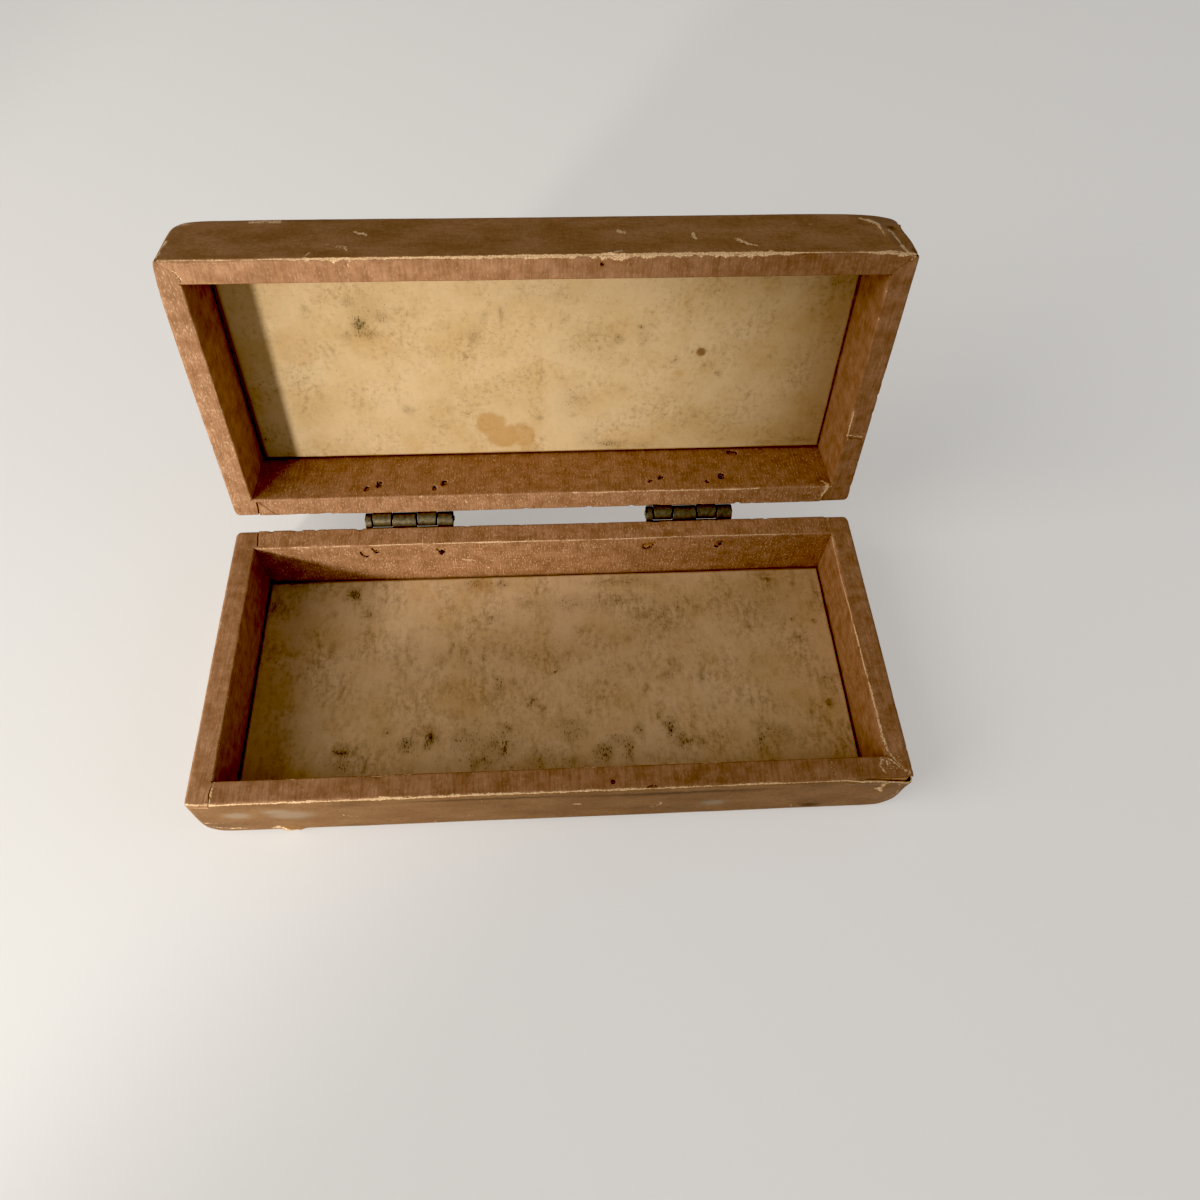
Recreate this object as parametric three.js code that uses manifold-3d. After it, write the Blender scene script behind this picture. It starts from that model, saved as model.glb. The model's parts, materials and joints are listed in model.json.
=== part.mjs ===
// A hinged keepsake box of paper-covered wood: a base and a lid, two shallow trays of almost the
// same height, joined by two small brass butt hinges nailed to the outside of the back.
// Millimetres. +Z is up, +X is to the right and +Y is to the back, seen from the front.
// The origin is the middle of the base's underside. The lid stands open, as it does at rest.

import * as THREE from "three";
import { mergeVertices } from "three/addons/utils/BufferGeometryUtils.js";
import Module from "manifold-3d";

const wasm = await Module();
wasm.setup();

// Box
const boxWidth = 180;
const boxDepth = 81.5;
const baseHeight = 20.8;
const lidHeight = 20.6;
const wallWood = 5.2;
const boardWood = 1.4;
const coverPaper = 0.4;
const liningPaper = 0.4;
const linerCard = 0.5;
const cornerRadius = 2.2; // upright corners
const edgeRadius = 2; // lower edge of the base, upper edge of the lid
const openAngle = 99.2; // degrees the lid is raised from closed

// Hinges
const hingeSpacing = 82.3; // between the middles of the two hinges
const hingeShift = 1.1; // the pair sits this far right of the middle
const knuckleLengths = [2, 5.7, 7.2, 5.8, 4.7]; // left to right, base leaf first and last
const barrelDiameter = 3.6;
const pinDiameter = 1.6;
const pinEnd = 0.4; // pin standing out of the barrel at each end
const leafThickness = 1;
const leafHeight = 8.4; // hinge axis to the leaf's free edge

// Nails
const nailDiameter = 1.2;
const nailHeadDiameter = 2.6;
const nailHeadHeight = 0.5;
const nailInset = 3.4; // leaf's end to the nail
const nailRow = 5; // hinge axis to the nail
const nailPoint = 1; // length of the tapered point
const nailProud = 0.2; // point standing out of the lining

// Clearances
const glueGap = 0.2; // between glued layers, and under a nail's head
const seamGap = 0.3; // open seams in the paper
const linerGap = 0.5; // round the card liners
const partingGap = 0.3; // between the rims when the lid is closed
const leafSeat = 0.3; // between a leaf and the paper behind it
const knuckleGap = 0.3; // between neighbouring knuckles, and round them
const pinGap = 0.2; // round the pin
const nailGap = 0.2; // round a nail's shank

// Smoothness
const cornerSteps = 5;
const edgeSteps = 5;
const roundSides = 24;
const nailSides = 12;
const domeSteps = 4;

// Layers of a wall, measured inwards from the outside of the box
const woodOut = coverPaper + glueGap;
const woodIn = woodOut + wallWood;
const liningOut = woodIn + glueGap;
const liningIn = liningOut + liningPaper;

// Layers of a floor, measured upwards from the outside of the tray
const boardTop = woodOut + boardWood;
const wallLow = boardTop + glueGap;
const linerTop = wallLow + linerCard;

// Hinge axis, and the barrel rolled from the middle of the leaf's thickness
const barrelRadius = barrelDiameter / 2;
const axisBehind = leafSeat + leafThickness / 2 + barrelRadius;
const axisY = boxDepth / 2 + axisBehind;
const axisZ = baseHeight + partingGap / 2;
const hingeWidth = knuckleLengths.reduce((sum, length) => sum + length, 0);
const hingeMiddles = {
  left: hingeShift - hingeSpacing / 2,
  right: hingeShift + hingeSpacing / 2,
};

const finishes = {
  wood: { color: 0x8a6a48, roughness: 0.8, metalness: 0 },
  coverPaper: { color: 0x6e4c2a, roughness: 0.7, metalness: 0 },
  liningPaper: { color: 0x9a6a44, roughness: 0.75, metalness: 0 },
  creamCard: { color: 0xc9a676, roughness: 0.85, metalness: 0 },
  agedBrass: { color: 0x6b5b38, roughness: 0.45, metalness: 1 },
  steel: { color: 0x4a443c, roughness: 0.5, metalness: 1 },
};

// A closed geometry as a solid that can be joined and cut.
function solidOf(geometry) {
  const bare = geometry.clone();
  bare.deleteAttribute("normal");
  bare.deleteAttribute("uv");
  const merged = mergeVertices(bare);
  const mesh = new wasm.Mesh({
    numProp: 3,
    vertProperties: new Float32Array(merged.getAttribute("position").array),
    triVerts: new Uint32Array(merged.index.array),
  });
  return new wasm.Manifold(mesh);
}

// A solid as a flat-shaded geometry.
function geometryOf(solid) {
  const mesh = solid.getMesh();
  const geometry = new THREE.BufferGeometry();
  geometry.setAttribute("position", new THREE.BufferAttribute(mesh.vertProperties, mesh.numProp));
  geometry.setIndex(new THREE.BufferAttribute(mesh.triVerts, 1));
  const flat = geometry.toNonIndexed();
  flat.computeVertexNormals();
  return flat;
}

function piece(name, solid, finish) {
  const mesh = new THREE.Mesh(geometryOf(solid), new THREE.MeshStandardMaterial(finish));
  mesh.name = name;
  return mesh;
}

function box([x0, x1], [y0, y1], [z0, z1]) {
  const geometry = new THREE.BoxGeometry(x1 - x0, y1 - y0, z1 - z0);
  geometry.translate((x0 + x1) / 2, (y0 + y1) / 2, (z0 + z1) / 2);
  return solidOf(geometry);
}

// A range on one side of the middle: side 1 keeps it, side -1 mirrors it.
function onSide(side, near, far) {
  return side > 0 ? [near, far] : [-far, -near];
}

// A round rod between two X positions, centred on the hinge axis.
function rodAlongX(radius, [x0, x1]) {
  const geometry = new THREE.CylinderGeometry(radius, radius, x1 - x0, roundSides);
  geometry.rotateZ(Math.PI / 2);
  geometry.translate((x0 + x1) / 2, 0, 0);
  return solidOf(geometry);
}

// One rounded rectangle of a block, counterclockwise from above.
function ring(width, depth, radius, z) {
  const quarters = [[1, 1], [-1, 1], [-1, -1], [1, -1]];
  return quarters.flatMap(([sideX, sideY], quarter) =>
    Array.from({ length: cornerSteps + 1 }, (_, step) => {
      const angle = ((quarter + step / cornerSteps) * Math.PI) / 2;
      const x = sideX * (width / 2 - radius) + radius * Math.cos(angle);
      const y = sideY * (depth / 2 - radius) + radius * Math.sin(angle);
      return [x, y, z];
    }),
  );
}

// Rings of equal length joined into a closed solid, from the lowest to the highest.
function loft(rings) {
  const count = rings[0].length;
  const faces = [];
  for (let level = 0; level + 1 < rings.length; level += 1) {
    for (let i = 0; i < count; i += 1) {
      const low = level * count + i;
      const lowNext = level * count + ((i + 1) % count);
      faces.push(low, lowNext, lowNext + count, low, lowNext + count, low + count);
    }
  }
  const top = (rings.length - 1) * count;
  for (let i = 1; i + 1 < count; i += 1) {
    faces.push(0, i + 1, i);
    faces.push(top, top + i, top + i + 1);
  }
  const geometry = new THREE.BufferGeometry();
  geometry.setAttribute("position", new THREE.Float32BufferAttribute(rings.flat(2), 3));
  geometry.setIndex(faces);
  return solidOf(geometry);
}

// The box's outer form drawn in by an inset: rounded upright corners and a rounded lower edge.
function insetBlock(inset, top) {
  const sharpest = 0.1;
  const edge = Math.max(edgeRadius - inset, sharpest);
  const rings = [];
  for (let step = 0; step <= edgeSteps; step += 1) {
    const angle = ((step / edgeSteps) * Math.PI) / 2;
    const drawnIn = inset + edge * (1 - Math.sin(angle));
    const radius = Math.max(cornerRadius - drawnIn, sharpest);
    const z = inset + edge * (1 - Math.cos(angle));
    rings.push(ring(boxWidth - 2 * drawnIn, boxDepth - 2 * drawnIn, radius, z));
  }
  const topRadius = Math.max(cornerRadius - inset, sharpest);
  rings.push(ring(boxWidth - 2 * inset, boxDepth - 2 * inset, topRadius, top));
  return loft(rings);
}

// Places of the nails along X, two for each hinge.
function nailPlaces(middle) {
  const reach = hingeWidth / 2 - nailInset;
  return [middle - reach, middle + reach];
}

// Holes for all the nails on the hinge side of a tray whose axis lies at the given height.
function drillNailHoles(solid, hingeSide, axisHeight) {
  const radius = nailDiameter / 2 + nailGap;
  const length = 2 * (liningIn + leafThickness + leafSeat);
  const places = Object.values(hingeMiddles).flatMap(nailPlaces);
  return places.reduce((drilled, x) => {
    const hole = new THREE.CylinderGeometry(radius, radius, length, nailSides);
    hole.translate(x, (hingeSide * boxDepth) / 2, axisHeight - nailRow);
    return drilled.subtract(solidOf(hole));
  }, solid);
}

// The wooden walls: side walls the full depth, front and back walls butted between them.
function woodenWalls(name, height, hingeSide) {
  const wallTop = height - liningPaper - glueGap;
  const level = [wallLow, wallTop];
  const form = insetBlock(woodOut, wallTop);
  const reachX = boxWidth / 2 - woodOut;
  const reachY = boxDepth / 2 - woodOut;
  const between = boxWidth / 2 - woodIn - glueGap;
  const sideRange = (side) => onSide(side, boxWidth / 2 - woodIn, reachX);
  const endRange = (side) => onSide(side, boxDepth / 2 - woodIn, reachY);
  const sideWall = (side) => form.intersect(box(sideRange(side), [-reachY, reachY], level));
  const endWall = (side) => form.intersect(box([-between, between], endRange(side), level));
  const backWall = drillNailHoles(endWall(hingeSide), hingeSide, height + partingGap / 2);
  return [
    piece(`${name}_left_wall`, sideWall(-1), finishes.wood),
    piece(`${name}_right_wall`, sideWall(1), finishes.wood),
    piece(`${name}_front_wall`, endWall(-hingeSide), finishes.wood),
    piece(`${name}_back_wall`, backWall, finishes.wood),
  ];
}

// Lining strips, one to a wall: each covers the rim and turns down the inner face.
function liningStrips(name, height, hingeSide) {
  const form = insetBlock(woodOut, height);
  const rim = [height - liningPaper, height];
  const sheet = [wallLow, height];
  const reachX = boxWidth / 2 - woodOut;
  const reachY = boxDepth / 2 - woodOut;
  const insideX = boxWidth / 2 - liningIn;
  const insideY = boxDepth / 2 - liningIn;
  const backX = boxWidth / 2 - liningOut;
  const backY = boxDepth / 2 - liningOut;
  const endX = insideX - seamGap;
  const sideStrip = (side) => {
    const rimPart = box(onSide(side, insideX, reachX), [-reachY, reachY], rim);
    const wallPart = box(onSide(side, insideX, backX), [-backY, backY], sheet);
    return form.intersect(rimPart.add(wallPart));
  };
  const endStrip = (side) => {
    const rimPart = box([-endX, endX], onSide(side, insideY, reachY), rim);
    const wallPart = box([-endX, endX], onSide(side, insideY, backY), sheet);
    return form.intersect(rimPart.add(wallPart));
  };
  const backStrip = drillNailHoles(endStrip(hingeSide), hingeSide, height + partingGap / 2);
  return [
    piece(`${name}_left_lining`, sideStrip(-1), finishes.liningPaper),
    piece(`${name}_right_lining`, sideStrip(1), finishes.liningPaper),
    piece(`${name}_front_lining`, endStrip(-hingeSide), finishes.liningPaper),
    piece(`${name}_back_lining`, backStrip, finishes.liningPaper),
  ];
}

// Outer papers: a sheet over the board with its edge turned up, and a wrap round the four sides.
function outerPapers(name, boardSide, height, hingeSide) {
  const reachX = boxWidth / 2;
  const reachY = boxDepth / 2;
  const shell = insetBlock(0, height).subtract(insetBlock(coverPaper, height + coverPaper));
  const slab = (low, high) => box([-reachX, reachX], [-reachY, reachY], [low, high]);
  const turnedUp = shell.intersect(slab(0, edgeRadius));
  const wrap = shell.intersect(slab(edgeRadius + seamGap, height));
  const drilled = drillNailHoles(wrap, hingeSide, height + partingGap / 2);
  return [
    piece(`${name}_${boardSide}_paper`, turnedUp, finishes.coverPaper),
    piece(`${name}_side_paper`, drilled, finishes.coverPaper),
  ];
}

function board(name, boardSide) {
  return piece(`${name}_${boardSide}_board`, insetBlock(woodOut, boardTop), finishes.wood);
}

function cardLiner(name, boardSide) {
  const reachX = boxWidth / 2 - liningIn - linerGap;
  const reachY = boxDepth / 2 - liningIn - linerGap;
  const card = box([-reachX, reachX], [-reachY, reachY], [wallLow, linerTop]);
  return piece(`${name}_${boardSide}_liner`, card, finishes.creamCard);
}

// One tray with its open side up and its underside at zero. The hinge side is 1 for +Y, -1 for -Y.
function tray(name, boardSide, height, hingeSide) {
  const group = new THREE.Group();
  group.add(board(name, boardSide));
  group.add(cardLiner(name, boardSide));
  group.add(...woodenWalls(name, height, hingeSide));
  group.add(...liningStrips(name, height, hingeSide));
  group.add(...outerPapers(name, boardSide, height, hingeSide));
  return group;
}

// X ranges of the knuckles of one hinge, from its left end.
function knuckleRanges(middle) {
  let start = middle - hingeWidth / 2;
  return knuckleLengths.map((length) => {
    const range = [start, start + length];
    start += length;
    return range;
  });
}

// A leaf below the hinge axis. Side 1 lies on a back face that looks to +Y, side -1 on one that
// looks to -Y. Its own knuckles are the even or the odd ones; it is notched round the others.
function hingeLeaf(middle, side, own) {
  const ranges = knuckleRanges(middle);
  const inner = -(axisBehind - leafSeat);
  const plateY = side > 0 ? [inner, inner + leafThickness] : [-inner - leafThickness, -inner];
  const ends = [middle - hingeWidth / 2, middle + hingeWidth / 2];
  let leaf = box(ends, plateY, [-leafHeight, 0]);
  ranges.forEach(([x0, x1], index) => {
    const isOwn = index % 2 === own;
    const left = index === 0 ? x0 : x0 + (isOwn ? 1 : -1) * (knuckleGap / 2);
    const right = index === ranges.length - 1 ? x1 : x1 + (isOwn ? -1 : 1) * (knuckleGap / 2);
    const clear = barrelRadius + knuckleGap;
    leaf = isOwn
      ? leaf.add(rodAlongX(barrelRadius, [left, right]))
      : leaf.subtract(box([left, right], [-clear, clear], [-clear, clear]));
  });
  leaf = leaf.subtract(rodAlongX(pinDiameter / 2 + pinGap, [ends[0] - 1, ends[1] + 1]));
  return nailPlaces(middle).reduce((drilled, x) => {
    const radius = nailDiameter / 2 + nailGap;
    const hole = new THREE.CylinderGeometry(radius, radius, 2 * axisBehind, nailSides);
    hole.translate(x, -side * axisBehind, -nailRow);
    return drilled.subtract(solidOf(hole));
  }, leaf);
}

// A round-headed nail driven towards -Y, its head's underside at y = 0.
function nailSolid() {
  const depth = leafThickness + leafSeat + liningIn + glueGap + nailProud;
  const shank = nailDiameter / 2;
  const headRadius = nailHeadDiameter / 2;
  const profile = [
    new THREE.Vector2(0, -depth),
    new THREE.Vector2(shank, -depth + nailPoint),
    new THREE.Vector2(shank, 0),
  ];
  for (let step = 0; step < domeSteps; step += 1) {
    const angle = ((step / domeSteps) * Math.PI) / 2;
    const x = headRadius * Math.cos(angle);
    profile.push(new THREE.Vector2(x, nailHeadHeight * Math.sin(angle)));
  }
  profile.push(new THREE.Vector2(0, nailHeadHeight));
  return solidOf(new THREE.LatheGeometry(profile, nailSides));
}

// The nails of one leaf, relative to the hinge axis.
function leafNails(name, middle, side) {
  const seat = axisBehind - leafSeat - leafThickness - glueGap;
  return nailPlaces(middle).map((x, index) => {
    const nail = piece(`${name}_nail_${index + 1}`, nailSolid(), finishes.steel);
    nail.rotation.z = side > 0 ? 0 : Math.PI;
    nail.position.set(x, -side * seat, -nailRow);
    return nail;
  });
}

function hingePin(name, middle) {
  const reach = hingeWidth / 2 + pinEnd;
  const rod = rodAlongX(pinDiameter / 2, [middle - reach, middle + reach]);
  return piece(`${name}_pin`, rod, finishes.agedBrass);
}

// Both hinges' pieces on one body, relative to the hinge axis. Own knuckles: 0 even, 1 odd.
function hingePieces(body, side, own) {
  const group = new THREE.Group();
  for (const [place, middle] of Object.entries(hingeMiddles)) {
    const name = `${place}_hinge`;
    const leaf = hingeLeaf(middle, side, own);
    group.add(piece(`${name}_${body}_leaf`, leaf, finishes.agedBrass));
    group.add(...leafNails(`${name}_${body}`, middle, side));
    if (body === "base") {
      group.add(hingePin(name, middle));
    }
  }
  return group;
}

const base = new THREE.Group();
base.add(tray("base", "bottom", baseHeight, 1));
const baseHinges = hingePieces("base", 1, 0);
baseHinges.position.set(0, axisY, axisZ);
base.add(baseHinges);

// The lid is drawn lying flat behind the base, then raised about the hinge axis.
const lid = new THREE.Group();
const lidTray = tray("lid", "top", lidHeight, -1);
lidTray.position.set(0, axisY, -lidHeight - partingGap / 2);
lid.add(lidTray);
lid.add(hingePieces("lid", -1, 1));
lid.position.set(0, axisY, axisZ);
lid.rotation.x = THREE.MathUtils.degToRad(180 - openAngle);

const keepsakeBox = new THREE.Group();
keepsakeBox.add(base, lid);

export default keepsakeBox;
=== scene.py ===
"""Builds the looks of a worn, paper-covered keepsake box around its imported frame."""

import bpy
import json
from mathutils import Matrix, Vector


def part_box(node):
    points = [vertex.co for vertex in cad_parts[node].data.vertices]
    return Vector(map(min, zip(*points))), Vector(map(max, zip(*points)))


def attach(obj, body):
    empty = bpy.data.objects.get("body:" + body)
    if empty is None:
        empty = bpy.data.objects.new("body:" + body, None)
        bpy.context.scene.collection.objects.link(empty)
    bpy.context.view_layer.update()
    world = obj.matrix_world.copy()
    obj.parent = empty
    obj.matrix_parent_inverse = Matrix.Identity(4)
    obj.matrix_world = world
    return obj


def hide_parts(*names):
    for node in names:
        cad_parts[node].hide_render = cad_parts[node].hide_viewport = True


bl_info = {
    "name": "Keepsake Box",
    "version": (1, 0, 0),
    "blender": (4, 5, 0),
    "location": "3D View > Sidebar > Keepsake Box",
    "description": "Papers, cards, hinges and nails of a hinged keepsake box, and a small stage for it",
    "category": "Add Mesh",
}

import json
import math

import bmesh
import bpy
import numpy as np
from mathutils import Quaternion, Vector

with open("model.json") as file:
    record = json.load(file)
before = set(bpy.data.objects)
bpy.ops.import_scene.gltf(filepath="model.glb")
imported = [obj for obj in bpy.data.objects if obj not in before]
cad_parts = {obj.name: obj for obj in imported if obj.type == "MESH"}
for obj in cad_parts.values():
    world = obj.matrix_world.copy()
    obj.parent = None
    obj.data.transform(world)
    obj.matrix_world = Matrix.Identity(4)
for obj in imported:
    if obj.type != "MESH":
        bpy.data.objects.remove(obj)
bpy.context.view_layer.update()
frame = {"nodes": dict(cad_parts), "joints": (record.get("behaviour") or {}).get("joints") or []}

MM = 0.001
HINGE = frame["joints"][0]
AXIS = np.array(HINGE["pos_m"]) / MM
# How far the lid turns from rest until it lies flat behind the base
FLAT_TURN = math.radians(HINGE["range_deg"][1])
SIDES = ("front", "back", "left", "right")
# Points closer than this many metres are merged
MERGE = 1e-7


def linear(hex_colour):
    """Turns an sRGB hex colour into linear red, green and blue."""
    parts = [int(hex_colour[i:i + 2], 16) / 255 for i in (1, 3, 5)]
    return tuple(c / 12.92 if c <= 0.04045 else ((c + 0.055) / 1.055) ** 2.4 for c in parts)


def node_span(name):
    """The lowest and highest corner of a frame node, in millimetres."""
    low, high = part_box(name)
    return np.array(low) / MM, np.array(high) / MM


def mesh_points(mesh):
    """A mesh's points in millimetres."""
    flat = np.zeros(len(mesh.vertices) * 3)
    mesh.vertices.foreach_get("co", flat)
    return flat.reshape(-1, 3) / MM


def turned(y, z, angle=FLAT_TURN):
    """Turns places about the hinge axis, unless told otherwise from the flat lid to the lid at rest."""
    cos, sin = math.cos(angle), math.sin(angle)
    return cos * y - sin * z, sin * y + cos * z


def lid_points(name):
    """A lid node's points as they lie with the lid opened flat, in millimetres from the hinge axis."""
    x, y, z = (mesh_points(frame["nodes"][name].data) - AXIS).T
    return np.stack([x, *turned(y, z, -FLAT_TURN)], axis=-1)


BASE_LOW, BASE_HIGH = node_span("base_side_paper")
RIM_INSIDE = node_span("base_front_lining")[1][1]
CARD_LOW, CARD_HIGH = node_span("base_bottom_liner")
LEAF_LOW = node_span("left_hinge_base_leaf")[0]
PIN_LOW, PIN_HIGH = node_span("left_hinge_pin")
LID_RISE = lid_points("lid_side_paper")[:, 2].max() - lid_points("lid_top_paper")[:, 2].min()
# Where the front linings begin on the rim's outer edge
FRONT_EDGE = -0.12
# How far the other linings reach down the outside, under the cover's upper edge
SKIRT = 0.5
# Height of the linings' lower edges over the tray's underside
FOOT = 2.35
# Gap between two linings in the inner corners
SEAM = 0.16


def length(label, words, millimetres):
    """A size that a user may change, given here in millimetres."""
    return bpy.props.FloatProperty(
        name=label, description=words, default=millimetres * MM, min=0.0, unit="LENGTH", precision=5)


def colour(label, words, hex_colour):
    """A colour that a user may change."""
    return bpy.props.FloatVectorProperty(
        name=label, description=words, default=linear(hex_colour), min=0.0, max=1.0, subtype="COLOR", size=3)


class KeepsakeBoxSizes(bpy.types.PropertyGroup):
    """Sizes of the box; those of the trays come from the frame."""

    width: length("Width", "Outside width of both trays", BASE_HIGH[0] - BASE_LOW[0])
    depth: length("Depth", "Outside depth of both trays", BASE_HIGH[1] - BASE_LOW[1])
    base_height: length("Base height", "From the underside of the base to its rim", BASE_HIGH[2])
    lid_height: length("Lid height", "From the top of the lid to its rim", LID_RISE)
    wall: length("Wall", "From the outside of a tray to its lining", RIM_INSIDE - BASE_LOW[1])
    corner_radius: length("Corner radius", "Roundness of the upright corners", 1.6)
    edge_radius: length("Edge radius", "Roundness of the outer bottom and top edges", 2.2)
    rim_fold: length("Rim fold", "Radius of the paper over the outer edge of the rim", 0.9)
    inner_fold: length("Inner fold", "Radius of the paper over the inner edge of the rim", 0.55)
    paper: length("Paper", "Thickness of the covering and lining papers", 0.3)
    paper_step: length("Paper step", "Spacing of the points along the papers", 0.36)
    card: length("Card", "Thickness of the two liner cards", CARD_HIGH[2] - CARD_LOW[2])
    card_step: length("Card step", "Spacing of the points on the cards", 0.49)
    leaf: length("Leaf", "Thickness of the hinge leaves", 1.0)
    barrel: length("Barrel", "Diameter of the hinge barrels", 4.1)
    pin: length("Pin", "Diameter of the hinge pins", PIN_HIGH[2] - PIN_LOW[2])
    knuckle_gap: length("Knuckle gap", "Gap between two knuckles", 0.2)
    worn_edge: length("Worn edge", "Rounding of the hinges' edges", 0.22)
    nail: length("Nail", "Diameter of the nails' shanks", 1.2)
    nail_head: length("Nail head", "Diameter of the nails' heads", 2.6)
    nail_reach: length("Nail reach", "From a nail's head to its point", 8.3)


class KeepsakeBoxColours(bpy.types.PropertyGroup):
    """Colours of the finishes."""

    lining: colour("Lining", "Brown lining paper", "#a97f5f")
    lining_dark: colour("Lining dark", "Handled and rubbed places of the lining paper", "#906849")
    lining_fleck: colour("Lining fleck", "Pale fibres in the lining paper", "#d6b38e")
    # Also paints shade at the feet of the walls and on the lid's front and right linings
    lining_dirt: colour("Lining dirt", "Dirt on the lining paper", "#4a2c16")
    # Painted shade in the nail holes, with the dark steel of the nail points
    lining_hole: colour("Lining hole", "Depth of the nail holes in the lining paper", "#2a1418")
    lid_cover: colour("Lid cover", "Paper round the lid", "#a87f5c")
    lid_cover_dark: colour("Lid cover dark", "Darker patches of the lid's paper", "#97704e")
    base_cover: colour("Base cover", "Paper round the base", "#9a7249")
    base_cover_dark: colour("Base cover dark", "Darker patches of the base's paper", "#8d653e")
    cover_smudge: colour("Cover smudge", "Grey smudges on the covering paper", "#b09c82")
    # Also paints shade beside lifted and torn bits of the covers and over the left of the base's front
    cover_grime: colour("Cover grime", "Dark grime on the covering paper", "#3c2711")
    core: colour("Paper core", "Pale inside of the papers where they are torn", "#ecca9f")
    # Painted shade on the torn fibres that lie deeper
    core_dark: colour("Paper core, deep", "Torn fibres that lie deeper", "#b08352")
    lid_card: colour("Lid card", "Yellowed cream card in the lid", "#cfb389")
    lid_card_shade: colour("Lid card shade", "Browned places of the lid's card", "#c2a272")
    base_card: colour("Base card", "Dirtier card in the base", "#d0af88")
    base_card_shade: colour("Base card shade", "Browned places of the base's card", "#c3a073")
    smudge: colour("Smudge", "Grey-brown dirt on the card", "#75603f")
    mould: colour("Mould", "Dark specks on the card", "#3c2f1e")
    foxing: colour("Foxing", "Brown blots on the card", "#7d5630")
    # Also paints shade on the cards' edges and on the lid's card near its side walls
    spot: colour("Spot", "Brown spots and edges of the card", "#704724")
    stain: colour("Stain", "Orange-brown stain on the card", "#ae8044")
    brass: colour("Brass", "Brass where it is rubbed", "#877a5e")
    patina: colour("Patina", "Dark skin on the old brass", "#595043")
    # Old grime with painted shade between the knuckles
    groove_grime_and_shade: colour("Groove", "Old grime between the hinges' knuckles", "#1c1710")
    steel: colour("Steel", "Dark nail steel", "#2c251f")
    rust: colour("Rust", "Rust on the nails", "#4a2f1c")
    wood: colour("Wood", "Bare softwood, darkened with age", "#b58a63")
    wood_dark: colour("Wood dark", "Late growth in the softwood", "#94683f")
    floor: colour("Floor", "Pale floor", "#bdbab5")


# Noise in millimetres, for shapes and for where wear falls


def corner_value(i, j, seed):
    """A fixed random value from 0 to 1 for each corner of a square grid."""
    n = (i.astype(np.int64) * 374761393 + j.astype(np.int64) * 668265263 + seed * 974711) & 0xFFFFFFFF
    n = ((n ^ (n >> 13)) * 1274126177) & 0xFFFFFFFF
    return ((n ^ (n >> 16)) & 0xFFFF) / 65535.0


def waver(u, v, seed, octaves=1):
    """Smooth noise from -1 to 1 over a grid of unit squares, with finer layers added by octaves."""
    u, v = np.broadcast_arrays(np.asarray(u, float), np.asarray(v, float))
    total, weight, size = np.zeros(u.shape), 0.0, 1.0
    for layer in range(octaves):
        i, j = np.floor(u * size), np.floor(v * size)
        s, t = u * size - i, v * size - j
        s, t = s * s * (3 - 2 * s), t * t * (3 - 2 * t)
        near = corner_value(i, j, seed + layer) * (1 - s) + corner_value(i + 1, j, seed + layer) * s
        far = corner_value(i, j + 1, seed + layer) * (1 - s) + corner_value(i + 1, j + 1, seed + layer) * s
        total += (near * (1 - t) + far * t - 0.5) * 2 / size
        weight += 1 / size
        size *= 2
    return total / weight


def ramp(value, low, high):
    """Goes smoothly from 0 at low to 1 at high."""
    k = np.clip((value - low) / (high - low), 0, 1)
    return k * k * (3 - 2 * k)


def stroke(u, v, path, width):
    """How much each place lies on a line through the path's points, from 0 to 1."""
    best = np.full(np.shape(u), np.inf)
    for (u0, v0), (u1, v1) in zip(path, path[1:]):
        du, dv = u1 - u0, v1 - v0
        k = np.clip(((u - u0) * du + (v - v0) * dv) / (du * du + dv * dv), 0, 1)
        best = np.minimum(best, np.hypot(u - u0 - k * du, v - v0 - k * dv))
    return np.exp(-(best / width) ** 2)


def dab(u, v, place, wide, tall):
    """How much each place lies in a soft oval, from 0 to 1."""
    return np.exp(-((u - place[0]) / wide) ** 2 - ((v - place[1]) / tall) ** 2)


def strokes(u, v, lines, widen=1.0):
    """The strongest of many lines at each place, each with a path, a width and, if it isn't 1, a strength."""
    best = np.zeros(np.shape(u))
    for path, width, *strength in lines:
        best = np.maximum(best, stroke(u, v, path, widen * width) * math.prod(strength))
    return best


def dabs(u, v, marks, edge=None):
    """The strongest of many soft ovals at each place; edge gives two levels that sharpen their outline."""
    best = np.zeros(np.shape(u))
    for place, wide, tall, *strength in marks:
        oval = dab(u, v, place, wide, tall)
        best = np.maximum(best, (ramp(oval, *edge) if edge else oval) * math.prod(strength))
    return best


def lifted(u, v, lines):
    """How far paper stands out along lines, each with a path, a width and a height."""
    return sum(stroke(u, v, path, width) * height for path, width, height in lines)


def wear_of(*channels):
    """The four channels of a paper's wear side by side, each from 0 to 1."""
    return np.clip(np.stack(np.broadcast_arrays(*channels), axis=-1), 0, 1)


def steps(start, stop, step):
    """Evenly spaced values that include both ends."""
    return np.linspace(start, stop, max(2, int(round(abs(stop - start) / step)) + 1))


# Shapes that papers follow


def fold(along, radius):
    """Turns a distance along paper bent over an edge into the distance in from that edge."""
    angle = np.clip((along + radius) / (2 * radius), 0, 1) * math.pi / 2
    return np.where(along > radius, along, radius * (1 - np.cos(angle)))


def edge_drop(inset, radius):
    """How far a rounded edge lies below its flat top, at a distance in from its outline."""
    short = np.clip(radius - inset, 0, radius)
    return radius - np.sqrt(radius * radius - short * short)


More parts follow.
